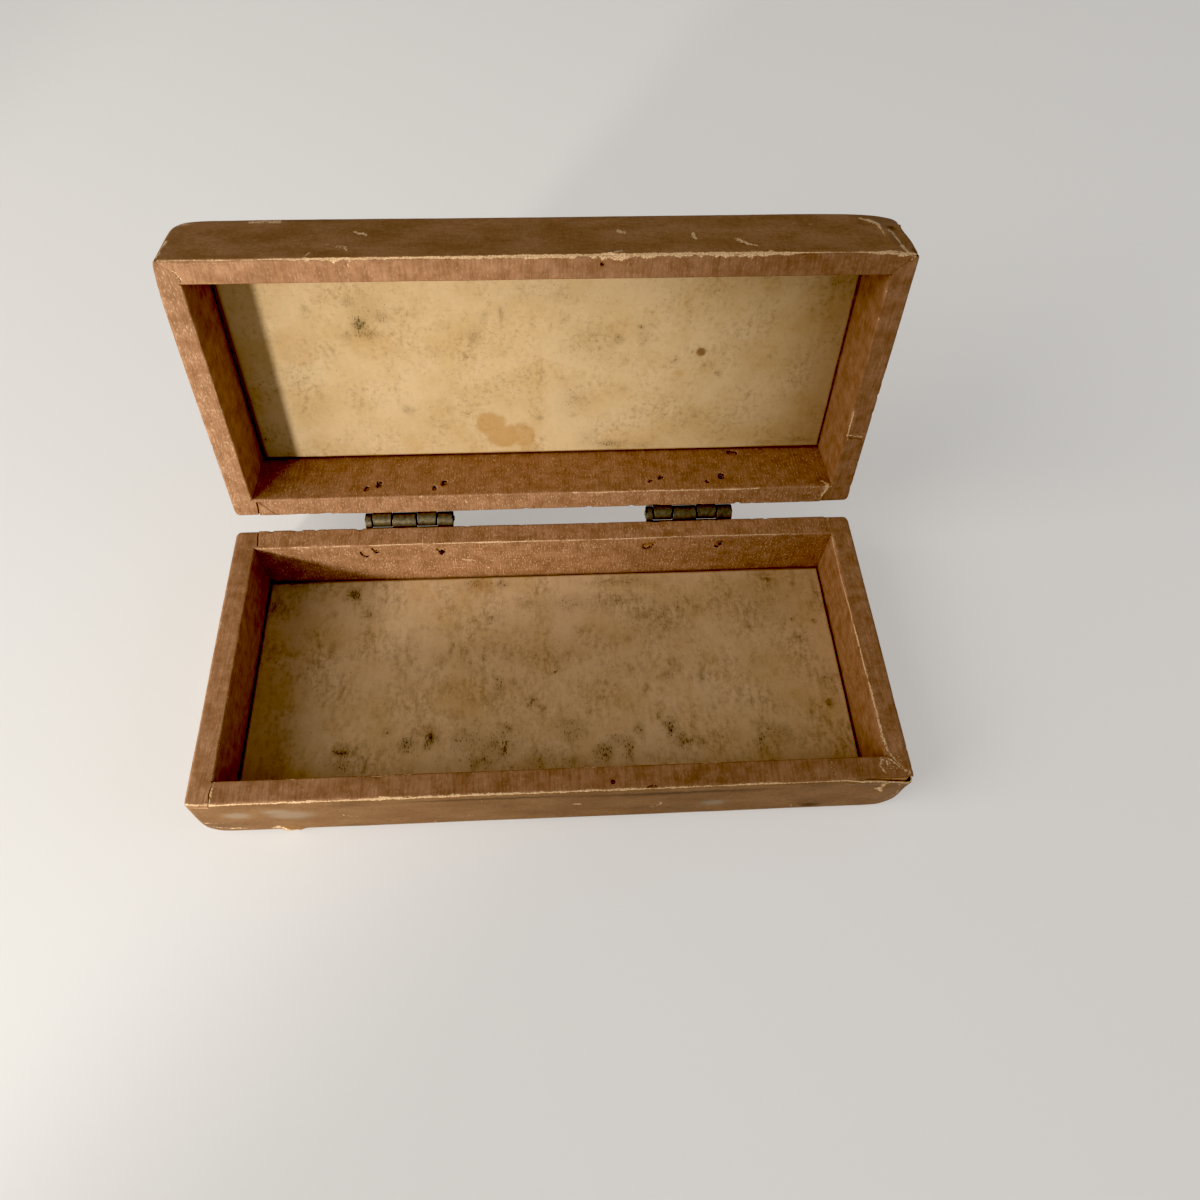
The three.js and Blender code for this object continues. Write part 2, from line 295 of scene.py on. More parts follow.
def rounded_plan(x, y, half_x, half_y, radius):
    """Gives a rectangle's points round corners; also gives each point's distance in from the outline."""
    in_x, in_y = half_x - np.abs(x), half_y - np.abs(y)
    near = (in_x < radius) & (in_y < radius)
    p = np.clip(1 - in_x / radius, 0, 1)
    q = np.clip(1 - in_y / radius, 0, 1)
    round_p, round_q = p * np.sqrt(1 - q * q / 2), q * np.sqrt(1 - p * p / 2)
    inset = np.where(near, radius * (1 - np.hypot(round_p, round_q)), np.minimum(in_x, in_y))
    x = np.where(near, np.sign(x) * (half_x - radius * (1 - round_p)), x)
    y = np.where(near, np.sign(y) * (half_y - radius * (1 - round_q)), y)
    return x, y, inset


class Tray:
    """One half of the box in its own millimetres: underside at zero, front at -Y, rim up."""

    def __init__(self, name, sizes):
        self.name = name
        self.sizes = {key: value / MM for key, value in size_values(sizes).items()}
        self.height = self.sizes[name + "_height"]
        self.half_x = self.sizes["width"] / 2
        self.half_y = self.sizes["depth"] / 2
        self.wall = self.sizes["wall"]
        self.turned = name == "lid"
        self.face = "top" if self.turned else "bottom"
        self.seed = 20 if self.turned else 0

    def place(self, points):
        """Moves points to where the tray is in the frame; the lid is mirrored over and opened."""
        if not self.turned:
            return points
        x, y, z = np.moveaxis(points, -1, 0)
        y, z = turned(AXIS[1] - y, z - self.height - (AXIS[2] - self.sizes["base_height"]))
        return np.stack([x, AXIS[1] + y, AXIS[2] + z], axis=-1)


def size_values(sizes):
    """The sizes by name."""
    return {key: getattr(sizes, key) for key in KeepsakeBoxSizes.__annotations__}


# Worn lower corners, by right or left and back or front: how far along, across and up the worn place reaches
WORN_CORNERS = {
    "base": ((-1, -1, (4.5, 8, 5)), (1, -1, (4.5, 8, 6)), (-1, 1, (4.5, 4.5, 4.5)), (1, 1, (4.5, 4.5, 4.5))),
    "lid": (
        (-1, -1, (5, 6, 5)), (-1, -1, (1.2, 6, 60)), (1, -1, (7, 2, 40)), (-1, 1, (4.5, 4.5, 4.5)),
        (1, 1, (4.5, 4.5, 4.5)),
    ),
}
# How softly the worn places begin, and how far into the wood that reaches
CORNER_SOFT = 1.3
CORNER_FADE = 5


def worn_corner(tray, points):
    """Rounds points off at the tray's worn corners."""
    for right, back, reach in WORN_CORNERS[tray.name]:
        turn = np.array((right, back, -1))
        deep = 1 / np.linalg.norm(1 / np.array(reach))
        inset = np.array((tray.half_x, tray.half_y, 0)) - points * turn
        above = ((inset / reach).sum(axis=-1) - 1) * deep
        push = (np.sqrt(above ** 2 + CORNER_SOFT ** 2) - above) / 2 * (1 - ramp(above, 0, CORNER_FADE))
        points = points - push[..., None] * turn * deep / reach
    return points


class Surface:
    """A paper's outer face: bare(u, v) gives smooth points, and swell(u, v) how far they stand out."""

    spread = 0.02

    def outward(self, u, v):
        """The direction away from the wood."""
        e = self.spread
        along = self.bare(u + e, v) - self.bare(u - e, v)
        across = self.bare(u, v + e) - self.bare(u, v - e)
        normal = np.cross(along, across) * self.hand
        return normal / np.maximum(np.linalg.norm(normal, axis=-1, keepdims=True), 1e-9)

    def at(self, u, v, lift=0.0):
        """Points on the worn paper, or a little above it."""
        swell = self.swell(u, v) + lift
        return self.bare(u, v) + self.outward(u, v) * swell[..., None]


class LiningSurface(Surface):
    """Lining paper on a wall: u runs along the wall, v across the rim from its outer edge and down inside."""

    def __init__(self, tray, side):
        self.tray = tray
        self.side = side
        self.key = f"{tray.name}_{side}"
        self.hand = 1 if side in ("front", "right") else -1
        self.seed = 10 + SIDES.index(side) + tray.seed

    def bare(self, u, v):
        tray = self.tray
        rim_fold, inner_fold = tray.sizes["rim_fold"], tray.sizes["inner_fold"]
        turn = np.clip((v - tray.wall + inner_fold) / (2 * inner_fold), 0, 1) * math.pi / 2
        inner = v > tray.wall - inner_fold
        if self.side in ("left", "right"):
            inner = inner & (np.abs(u) < tray.half_y - tray.wall + inner_fold - 0.01)
        inset = np.where(inner, tray.wall - inner_fold * (1 - np.sin(turn)), fold(v, rim_fold))
        drop = np.where(inner, inner_fold * (1 - np.cos(turn)), np.maximum(0, -rim_fold - v))
        drop = np.where(inner & (v > tray.wall + inner_fold), v - tray.wall, drop)
        if self.side in ("front", "back"):
            sign = -1 if self.side == "front" else 1
            x, y, end = u, sign * (tray.half_y - inset), np.zeros(np.shape(u))
        else:
            sign = -1 if self.side == "left" else 1
            past = tray.half_y - np.abs(u)
            end = np.maximum(0, -rim_fold - past)
            x, y = sign * (tray.half_x - inset), np.sign(u) * (tray.half_y - fold(past, rim_fold))
        x, y, inset = rounded_plan(x, y, tray.half_x, tray.half_y, tray.sizes["corner_radius"])
        z = tray.height - edge_drop(inset, rim_fold) - drop - end
        return worn_corner(tray, np.stack(np.broadcast_arrays(x, y, z), axis=-1))

    def swell(self, u, v):
        """Lies a little below the rim, so that the closed box shuts; some folds and tears stand out."""
        soft = 0.05 * waver(u / 17, v / 8, self.seed) + 0.014 * waver(u / 2.6, v / 2.2, self.seed + 1, 2)
        edge = np.exp(-((v + 0.1) / 0.8) ** 2)
        nicks = ramp(waver(u / 2.1, v / 2.4, self.seed + 2, 2), 0.3, 0.85) * edge * 0.4
        wave = (0.5 + 0.5 * waver(u / 23, 0.5, self.seed + 3)) * edge * 0.16
        # The fold over the back edges is fuller than the others
        full = 0.3 * np.exp(-((v + 0.2) / 0.7) ** 2) * (self.side == "back")
        return soft - 0.075 - nicks - wave + full + lifted(u, v, LINING_LIFTS.get(self.key, ()))


class CoverSurface(Surface):
    """Covering paper round a tray: u runs round the outside from the middle of the front, v is the height."""

    hand = 1

    def __init__(self, tray):
        self.tray = tray
        self.seed = 60 + tray.seed
        radius = tray.sizes["corner_radius"]
        run_x, run_y = tray.half_x - radius, tray.half_y - radius
        points = [(0.0, -tray.half_y)]
        for quarter, (right, back) in enumerate(((1, -1), (1, 1), (-1, 1), (-1, -1))):
            for angle in np.radians(np.linspace(90 * quarter - 90, 90 * quarter, 15)):
                across = right * run_x + radius * math.cos(angle)
                points.append((across, back * run_y + radius * math.sin(angle)))
        points.append((0.0, -tray.half_y))
        self.path = np.array(points)
        self.reach = np.concatenate([[0], np.cumsum(np.linalg.norm(np.diff(self.path, axis=0), axis=1))])
        self.round = self.reach[-1]

    def bare(self, u, v):
        tray = self.tray
        u, v = np.broadcast_arrays(np.asarray(u, float), np.asarray(v, float))
        rim_fold, edge = tray.sizes["rim_fold"], tray.sizes["edge_radius"]
        turn = np.clip((v - tray.height + rim_fold) / (2 * rim_fold), 0, 1) * math.pi / 2
        over = v > tray.height - rim_fold
        inset = np.where(over, rim_fold * (1 - np.cos(turn)), edge_drop(v, edge))
        z = np.where(over, tray.height - rim_fold * (1 - np.sin(turn)), v)
        around = np.mod(u, self.round)
        x, y = np.interp(around, self.reach, self.path[:, 0]), np.interp(around, self.reach, self.path[:, 1])
        x, y = x * (1 - inset / tray.half_x), y * (1 - inset / tray.half_y)
        return worn_corner(tray, np.stack([x, y, z], axis=-1))

    def swell(self, u, v):
        soft = 0.07 * waver(u / 21, v / 9, self.seed) + 0.02 * waver(u / 3.1, v / 2.7, self.seed + 1, 2)
        return soft - 0.1 + lifted(u, v, COVER_LIFTS[self.tray.name])


class PanelSurface(Surface):
    """Paper on a tray's outer face, turned up a little over its edges: u and v run along and across it."""

    hand = -1

    def __init__(self, tray):
        self.tray = tray
        self.seed = 110 + tray.seed

    def bare(self, u, v):
        tray = self.tray
        edge = tray.sizes["edge_radius"]
        u, v = np.broadcast_arrays(np.asarray(u, float), np.asarray(v, float))
        x = np.sign(u) * (tray.half_x - fold(tray.half_x - np.abs(u), edge))
        y = np.sign(v) * (tray.half_y - fold(tray.half_y - np.abs(v), edge))
        x, y, inset = rounded_plan(x, y, tray.half_x, tray.half_y, max(edge, tray.sizes["corner_radius"]))
        return worn_corner(tray, np.stack([x, y, edge_drop(inset, edge)], axis=-1))

    def swell(self, u, v):
        """The lid's top has a few soft dents; the base's underside stays flat to stand on."""
        near = np.minimum(self.tray.half_x - np.abs(u), self.tray.half_y - np.abs(v))
        dents = 0.12 * waver(u / 19, v / 15, self.seed) + 0.04 * waver(u / 5, v / 5, self.seed + 1, 2)
        worn = 0.1 * waver(u / 8, v / 8, self.seed + 2, 2) * np.exp(-(near / 2.5) ** 2)
        flat = 1.0 if self.tray.turned else ramp(-near, -6, -1)
        return (dents - 0.14) * flat + worn - 0.06 - 0.3 * ramp(-near, -0.2, 1.0)


class CardSurface(Surface):
    """A liner card's upper face: u runs along it, v across it."""

    hand = 1

    def __init__(self, tray):
        self.tray = tray
        self.seed = 160 + tray.seed

    def bare(self, u, v):
        u, v = np.broadcast_arrays(np.asarray(u, float), np.asarray(v, float))
        return np.stack([u, v, np.full(u.shape, CARD_HIGH[2])], axis=-1)

    def swell(self, u, v):
        return 0.06 * waver(u / 26, v / 18, self.seed) + 0.012 * waver(u / 2, v / 2, self.seed + 1, 2) - 0.05


# Where the wear falls, in millimetres: places on a lining are (along the wall, across the paper from the
# outer edge), on a cover (round from the middle of the front, height), and on a card (along, across)

LINING_LIFTS = {
    "lid_front": [(((-90, -1), (-84.6, 2.9), (-84.2, 4.6)), 1.4, 0.09)],
    "base_front": [(((74, -0.4), (91, -0.4)), 1.0, 0.12)],
    "lid_right": [(((9, 4.6), (15.2, 4.6), (15.6, 2)), 0.7, 0.07)],
    "base_right": [(((-41, 1), (-36, 3)), 1.0, 0.1)],
}
LINING_CRACKS = {
    "base_back": [
        (((-83, 6.6), (-68, 6.5)), 0.16, 0.75), (((-62, 6.5), (-57, 6.4)), 0.16, 1.4),
        (((-51, 6.4), (-36, 6.35)), 0.15, 1.4), (((-33, 6.4), (-24, 6.2), (-14, 6.3)), 0.15, 1.5),
        (((-22, 6.6), (-7, 6.4), (15, 6.5), (45, 6.1), (75, 6.3)), 0.13, 1.1),
        (((-13.7, 6.25), (-12.4, 4.7)), 0.13, 1.2), (((-6.7, 6.6), (-5, 4.9), (-3.2, 6.6)), 0.13, 1.2),
        (((-24.6, 15.1), (-21.6, 15.8)), 0.26, 1.4), (((-18.2, 19.6), (-17.6, 19.9)), 0.32, 1.4),
    ],
    "base_right": [
        (((33, 6.9), (20.5, 7.6), (7.5, 6.8), (-13.4, 6.1), (-27.6, 5.9), (-33, 5.4)), 0.4, 1.0),
        (((-33, 5.6), (-35.2, 4.5), (-37.4, 3.2), (-39.3, 1.2)), 0.26, 1.05),
        (((-34.6, 3.2), (-36.4, 2.2)), 0.3, 0.7),
    ],
    "base_front": [
        (((-83.3, 6.2), (-83.7, 4.5), (-83.6, 2.5), (-83.8, 0.6)), 0.2, 0.9),
        (((82.7, 5.9), (81.6, 3.9), (82.7, 2.0)), 0.24, 0.9), (((83.4, 5.0), (85.4, 2.4)), 1.3, 0.42),
        (((84.4, 5.6), (86.4, 3.2), (88.6, 1.2)), 0.22, 0.9),
        (((69.8, 5.4), (69.3, 4), (70.1, 2.8), (69.5, 1.2)), 0.22, 0.9),
        (((-66, 6.3), (-64, 6.1)), 0.25, 0.8), (((-47, 6.1), (-40, 6.2)), 0.2, 0.7),
        (((-26, 6.3), (20, 6.2)), 0.16, 0.45),
    ],
    "lid_back": [
        (((8, 6.2), (18, 6.1), (30, 6.3), (49, 6.0), (62, 6.2)), 0.3, 0.7),
        (((-83, 6.2), (-60, 6.3)), 0.2, 0.4),
        (((81.5, 8.6), (82.6, 7.2), (82.3, 4.8), (81.5, 2.4)), 0.42, 1.3),
        (((-23.4, 4.6), (-22.9, 3.2)), 0.24, 0.9),
    ],
    "lid_right": [
        (((-40.6, 1.0), (-39.0, 2.2), (-38.4, 3.6)), 0.6, 0.8),
        (((7, 5.8), (10, 5.9), (13.3, 5.8), (17, 5.6)), 0.22, 1.15),
        (((15.2, 5.4), (15.7, 3.4), (16, 1.6)), 0.22, 1.15), (((31, 7.4), (38.6, 7.6)), 0.22, 0.5),
    ],
    "lid_front": [
        (((-44, 0.4), (-45, 2.6)), 0.25, 0.8), (((-48, 4.2), (-44, 3.6)), 0.2, 0.5),
        (((-88.2, 1.5), (-84.3, 3.0), (-83.5, 4.6)), 0.32, 1.1), (((-84, 1), (-70, 0.7)), 0.2, 0.4),
    ],
    "lid_left": [(((12, 5.8), (18, 5.9)), 0.22, 0.6), (((-41.2, 0.2), (-40.9, 2.4)), 0.3, 1.0)],
    "base_left": [
        (((-40.4, 0.0), (-40.5, 6.6)), 0.36, 1.2), (((-24, 6.4), (-26, 6.6)), 0.24, 0.7),
        (((12, 0.6), (5, 0.5)), 0.2, 0.5),
    ],
}
# Dark seams between the papers, and painted shade along the edge of the base's front lining where it has
# drawn back from the peeled cover; on the lid's right rim a wider, fainter mark darkens the torn flap: path,
# width, strength
LINING_SEAMS_AND_SHADE = {
    "lid_back": [(((-82, 5.6), (-81.3, 4.5), (-79.6, 2.0), (-77.2, -0.1)), 0.22, 1.3)],
    "lid_right": [(((16.1, 5.2), (16.5, 3.4), (16.8, 1.6)), 0.28, 1.2), (((9, 3.4), (14, 3.4)), 1.9, 0.5)],
    "base_front": [(((76, 0.2), (90, 0.2)), 0.3, 1.0)],
    "lid_left": [(((-37.4, 6.0), (-33.6, 6.5)), 0.2, 0.5)],
}
# Nail points and old nail holes that come out through the back walls, as slits: path, width. Their dark
# colour is painted shade in the holes and the steel of the points. Each is marked wider than it is, because
# only the middle of a mark sinks in
HOLE_SPREAD = 1.7
LINING_HOLES = {
    "lid_back": [
        (((-51.8, 9.7), (-51.6, 10.7)), 0.34), (((-48.3, 11.5), (-48.3, 12.4)), 0.5),
        (((-32.2, 9.3), (-32.2, 10.1)), 0.34), (((-29.4, 11.4), (-29.4, 12.2)), 0.5),
        (((30.6, 10.3), (31.0, 10.9)), 0.28), (((33.7, 11.8), (34.1, 12.4)), 0.34),
        (((47.1, 10.1), (47.5, 9.5)), 0.26), (((51.7, 11.5), (51.9, 12.5)), 0.5),
        (((56.4, 22.5), (57.4, 22.1)), 0.6),
    ],
    "base_back": [
        (((-53.7, 10.2), (-52.9, 11.9)), 0.48), (((-50.0, 8.6), (-49.6, 10.0)), 0.52),
        (((-31.6, 9.5), (-30.4, 10.8)), 0.44), (((-30.9, 9.1), (-30.7, 11.6)), 0.4),
        (((-30.1, 9.4), (-30.9, 10.8)), 0.34), (((29.1, 10.0), (29.3, 11.4)), 0.54),
        (((30.7, 10.7), (31.0, 9.4)), 0.48), (((50.4, 11.6), (51.2, 9.5)), 0.52),
    ],
    "base_front": [(((14.2, 2.2), (14.4, 2.6)), 0.25), (((23.4, 0.3), (24.6, 0.3)), 0.4)],
    "lid_front": [(((13.9, 2.2), (14.1, 2.6)), 0.22)],
}
# How strongly the pale fibres show, on the rim and on the wall
LINING_FLECKS = {
    "base_back": (0.7, 1.0), "base_front": (0.3, 0.25), "base_left": (0.3, 0.2), "base_right": (0.3, 0.3),
    "lid_back": (0.85, 0.65), "lid_front": (0.35, 0.3), "lid_left": (0.75, 0.2), "lid_right": (0.2, 0.25),
}
# Seams between the linings on the rim's corners, by left or right: (in from the front or back edge, in from
# the side edge), and the width of the open seam
LINING_CORNERS = {
    ("lid_front", -1): (((0, 1.5), (1.6, 3.6), (2.95, 5.4), (4.6, 6.4), (5.8, 6.4)), 0.14),
    ("lid_back", -1): (((0, 6.9), (3.0, 7.2), (5.3, 7.4), (5.8, 7.7)), 0.46),
    ("lid_back", 1): (((0, 8.2), (2.4, 8.0), (4.8, 7.1), (5.8, 6.8)), 0.14),
    ("base_back", -1): (((0, 6.4), (2, 6.5), (5.8, 7.0)), 0.34),
    ("base_back", 1): (((0, 7.4), (5.8, 7.6)), 0.08),
    ("base_front", -1): (((0, 6.1), (1.2, 6.2), (3, 5.8), (4.4, 6.0), (5.0, 6.4), (5.8, 6.3)), 0.2),
    ("base_front", 1): (((0, 0.4), (1.5, 1.3), (3.4, 3.3), (5.6, 4.6), (5.8, 5.2)), 0.1),
    ("lid_front", 1): (((0, 0.6), (2.0, 2.2), (4.2, 4.4), (5.8, 5.9)), 0.08),
}


def corner_seam(key, sign, tray, past):
    """How far in from the side edge a corner's seam lies, and its width."""
    plain = tray.wall - tray.sizes["inner_fold"]
    path, width = LINING_CORNERS.get((key, sign), (((0, plain),), 0.05))
    wander = 0.1 * waver(past / 0.9, sign, len(key), 2)
    seam = np.interp(past, *np.array(path).T) + (wander if len(path) > 1 else 0)
    return np.where(past < plain, seam, plain), width


COVER_LIFTS = {
    "base": [
        (((84, 15), (83.6, 9)), 1.3, 0.35), (((90, 17), (94, 8)), 1.5, 0.4),
        (((-69, 2.2), (-66, 2.4)), 1.1, 0.6), (((74, 19.4), (90, 18.6)), 1.2, 0.35),
        (((62, 4.5), (69, 3.2)), 0.8, 0.25),
    ],
    "lid": [
        (((82, 5), (84.5, 9), (84, 16)), 1.2, 0.35), (((88, 6), (90, 14), (89, 19)), 1.3, 0.35),
        (((88.3, 7.5), (88.8, 6.6)), 0.45, 0.9), (((-50, 14.5), (-45, 16)), 1.0, 0.12),
        (((15, 19.4), (19, 19.6)), 0.8, 0.3),
    ],
}
# Scratches are drawn a little wider and stronger than they are, because ragged edges eat into them
SCRATCH_SPREAD = 1.3
SCRATCH_STRENGTH = 1.2
COVER_SCRATCHES = {
    "base": [
        (((-53.5, 11.2), (-51, 9.2), (-49, 8)), 0.22, 0.8), (((-52, 9.8), (-48, 9.2)), 0.2, 0.5),
        (((24, 6.8), (26.6, 8.6), (27.3, 10.4)), 0.28, 0.9), (((4.4, 12), (6, 11.6)), 0.35, 0.8),
        (((-18.2, 16.4), (-16.6, 16.2)), 0.3, 0.7), (((-22.4, 6.6), (-20.6, 6.2)), 0.28, 0.6),
        (((-88, 8.5), (-84, 8.0)), 0.3, 0.5), (((-79, 8.6), (-76, 8.2)), 0.3, 0.4),
        (((-88, 5.6), (-82, 3.6), (-74, 3.0), (-67, 2.6)), 0.32, 0.65),
        (((-71, 3.6), (-68, 1.6), (-65.6, 2.6)), 0.6, 0.9),
        (((83.6, 18.6), (82.6, 17.2), (83.2, 15.8), (82.2, 14.4), (83.4, 12.8)), 0.38, 1.1),
        (((82.6, 15), (81.4, 14.2)), 0.26, 0.8), (((87, 18), (88.6, 10), (86.4, 6)), 0.3, 0.5),
        (((62, 5), (64, 4.4)), 0.4, 0.6),
    ],
    "lid": [
        (((-44.4, 8.0), (-42.4, 8.8), (-41.4, 9.8)), 0.3, 0.95),
        (((-50, 14), (-47.6, 15), (-45.6, 15.4), (-45.2, 16.8)), 0.34, 0.9),
        (((-54.4, 19.4), (-53.6, 17.6)), 0.28, 0.9), (((-49, 14.6), (-46.4, 16.2)), 0.4, 0.5),
        (((18.5, 9.3), (19.9, 10.2)), 0.55, 1.1), (((36.6, 10.4), (36.4, 12.6), (37, 13.2)), 0.36, 1.05),
        (((46.8, 13.6), (47.6, 15.0), (49, 16.2)), 0.46, 1.1), (((49.2, 16.2), (52, 17)), 0.24, 0.8),
        (((62, 6.6), (66, 7)), 0.3, 0.4), (((79.2, 3.6), (81.4, 4.8), (83.1, 6.9)), 0.36, 1.3),
        (((83.1, 6.9), (83.2, 13.3)), 0.24, 0.9),
        (((84.8, 9.4), (86.2, 10.2), (86.2, 13.7), (86.8, 19.1)), 0.3, 1.3),
        (((-88.6, 18.6), (-87.9, 11.5)), 0.3, 0.9), (((-86.6, 3.0), (-83.6, 3.0)), 0.5, 0.8),
        (((-70, 2.6), (-66, 2.3), (-63, 2.7)), 0.5, 0.9), (((15, 19.8), (19, 18.9)), 0.4, 0.9),
    ],
}
# Lip of the cover where the paper has come away at the base's front right corner: round, height
PEEL = (
    (73, 20.8), (76, 20.1), (79.5, 19.8), (82.5, 19.5), (86, 18.6), (88.5, 17.9), (91, 17.8), (94, 18.8),
    (97, 20.8),
)
# How far the front lining has drawn back there: along, across
DRAWN_BACK = ((74, 0.0), (79, 0.5), (85, 0.55), (88, 0.8), (90, 0.6))
COVER_SMUDGES = {
    "base": [((-66, 12), 6.5, 3.2), ((-79, 13), 4, 2.4), ((40.5, 8.8), 3.6, 2.2), ((-69, 14.5), 4, 2)],
    "lid": [],
}
# Dark marks on the covers, place, width, height: grime, and painted shade beside lifted and torn bits of
# paper; the two wide ones darken a band under the base's rim
COVER_GRIME_AND_SHADE = {
    "base": [((66, 3.8), 2.2, 0.7), ((66.5, 4.4), 3.5, 1.2), ((-18, 18), 30, 0.8), ((30, 17), 30, 1.0)],
    "lid": [
        ((16.7, 19.3), 1.9, 0.6), ((-89.2, 20.2), 1.4, 0.6), ((86.4, 7.6), 1.2, 1.0),
        ((88.8, 18.6), 0.8, 1.2),
    ],
}
# How strong the noise of grey dirt is on each card
CARD_DIRT = {"base": 0.74, "lid": 0.32}
# Card marks: place, width, height, strength
CARD_MOULD = {
    "lid": [
        ((-48.5, 11.5), 2.2, 2.6, 0.95), ((-47, 8.5), 3.4, 1.6, 0.6), ((-52, 8), 1.6, 2.0, 0.5),
        ((-42.5, 13.5), 2.2, 2.0, 0.5), ((-61.5, 16.2), 1.4, 1.6, 0.55), ((-50, 18.5), 2.0, 2.0, 0.4),
        ((-46, 15), 7, 7, 0.24), ((-21.2, 0.6), 0.7, 0.9, 0.9), ((-18.5, 7), 2.2, 3, 0.3),
        ((-10.8, 14), 0.8, 3, 0.45), ((-38.8, -17.4), 1.6, 1.6, 0.5), ((-57, 3.5), 0.8, 0.8, 0.5),
        ((27, 9.4), 0.8, 0.7, 0.8), ((20.8, 5.6), 1.2, 1.4, 0.5), ((6, 12), 2, 1.4, 0.3),
        ((28, 6), 2, 4, 0.3), ((49.6, -6.6), 0.8, 0.8, 0.7), ((45.6, -4), 0.6, 0.9, 0.7),
        ((36.8, -1.9), 0.5, 0.5, 0.7), ((41.4, 0.9), 0.4, 0.5, 0.6), ((-1.4, -21), 1.0, 0.9, 0.7),
        ((8, -15), 5, 6, 0.22), ((20, -31.5), 5, 1.6, 0.5), ((30, -32), 3, 1.6, 0.4), ((13, -29), 3, 3, 0.3),
        ((62.5, 16.4), 0.7, 0.6, 0.5), ((77.5, 22), 1.4, 1.4, 0.5), ((55, -21.5), 0.7, 0.5, 0.5),
        ((63.4, -1.2), 0.7, 0.6, 0.4), ((-81.5, -27), 0.7, 0.7, 0.7), ((29, -17), 0.6, 0.6, 0.6),
        ((0, -4.4), 0.4, 0.4, 0.6), ((-16, 13), 1.2, 1.8, 0.3), ((78, -31.6), 5, 1.2, 0.4),
        ((8.6, -20), 1.6, 1.0, 0.4), ((13, 5), 9, 9, 0.16), ((5, 19), 16, 4, 0.15),
    ],
    "base": [
        ((-58, 29), 2.4, 2.4, 0.85), ((-54, 23), 1.8, 2.4, 0.55), ((-56.4, 27.5), 0.7, 1.6, 0.6),
        ((-50, 26.8), 0.6, 0.6, 0.7), ((-22, 31.5), 4.5, 2.2, 0.55), ((-14, 32), 2.2, 1.6, 0.6),
        ((-17, 19.2), 1.0, 0.8, 0.9), ((-13.4, 17.4), 0.6, 0.5, 0.6), ((-57.5, -21.2), 2.6, 1.4, 0.95),
        ((-57, -25), 3, 2.4, 0.45), ((-40, -19.5), 2.6, 2.0, 0.7), ((-33.6, -17.6), 1.7, 2.6, 0.95),
        ((-46, -15), 1.4, 1.2, 0.4), ((-23, -18), 5, 4, 0.45), ((-13.4, -21), 1.0, 2.0, 1.0),
        ((-12, -15.5), 1.2, 1.6, 0.7), ((-20, -24), 6, 3, 0.4), ((-4, -25), 5, 3, 0.4), ((5, -16), 5, 3, 0.4),
        ((5, -26), 4, 2, 0.4), ((-16, -20), 7, 5, 0.4), ((14, -23.5), 2.6, 2.4, 0.7),
        ((20.5, -23.5), 1.8, 3.4, 0.7), ((24, -17.5), 1.4, 2.4, 0.55), ((18, -20.5), 4, 2, 0.45),
        ((32.6, -17.5), 1.4, 3.0, 0.9), ((36.5, -21), 3.2, 1.4, 0.7), ((41, -21.4), 1.4, 1.2, 0.6),
        ((57, -21), 1.2, 4.0, 0.6), ((63, -20), 3.6, 3.0, 0.45), ((60, -17.5), 2.4, 2.0, 0.4),
        ((30, -13), 0.6, 1.6, 0.6), ((10.4, -11), 0.7, 1.6, 0.5), ((-28.6, 10), 1.0, 2.0, 0.55),
        ((-31.4, 5), 1.6, 1.6, 0.45), ((-23.4, 5), 0.4, 0.4, 0.7), ((-15, -3.5), 1.4, 3.6, 0.5),
        ((-5.6, -7.6), 1.2, 1.4, 0.8), ((-2.6, -9.4), 1.6, 0.8, 0.5), ((1.2, 1.2), 0.5, 0.5, 0.9),
        ((1.6, 3.4), 1.0, 3, 0.4), ((-19, 5.6), 0.8, 1.4, 0.5), ((-24.6, 8), 1.2, 2, 0.4),
        ((67, 30.2), 1.6, 0.8, 0.7), ((75, 29), 1.0, 0.9, 0.6), ((72.8, 16.6), 0.7, 0.7, 0.9),
        ((78.4, 15.4), 0.8, 0.8, 0.7), ((74, 9.4), 0.5, 1.4, 0.5), ((78.5, -11), 0.9, 1.6, 0.6),
        ((79, -4), 1.4, 4, 0.4), ((33, -1.5), 2.4, 1.6, 0.5), ((26.4, -5), 1.0, 1.4, 0.5),
        ((35, 3), 1.0, 3.4, 0.35), ((38, 21), 0.6, 1.0, 0.5), ((59.4, 3), 1.0, 2.4, 0.4),
        ((81, 26), 1.0, 5, 0.4), ((-66.6, -1), 0.4, 0.4, 0.7), ((-81.5, 27), 1.2, 3, 0.5),
        ((-64, 23), 1.2, 1.2, 0.35), ((-39, 12), 1.2, 8, 0.2), ((-44, 7), 0.8, 5, 0.3),
        ((22, 24), 9, 2, 0.35), ((43.4, -1), 0.8, 5, 0.3), ((64, 20), 9, 8, 0.2), ((30, 17), 10, 6, 0.25),
        ((8, 24), 12, 3, 0.3), ((22, 31), 12, 2, 0.35),
    ],
}
CARD_STAINS = {
    "lid": [
        ((-15.6, -23.0), 4.8, 4.6, 0.95), ((-11.8, -27.6), 5.2, 4.6, 0.95), ((-6.0, -27.4), 3.8, 4.6, 0.75),
        ((-4.2, -31.8), 2.8, 2.4, 0.45), ((-66, 5), 6, 7, 0.3), ((-46, 5), 7, 5, 0.25),
        ((38.2, -6.2), 2.0, 1.2, 0.5),
    ],
    "base": [((-20, 31), 4, 3, 0.4), ((-27, -6), 9, 7, 0.2), ((60, 22), 10, 6, 0.15)],
}
CARD_SPOTS = {"lid": [((44.0, 0.9), 1.3, 1.5, 0.8)], "base": []}
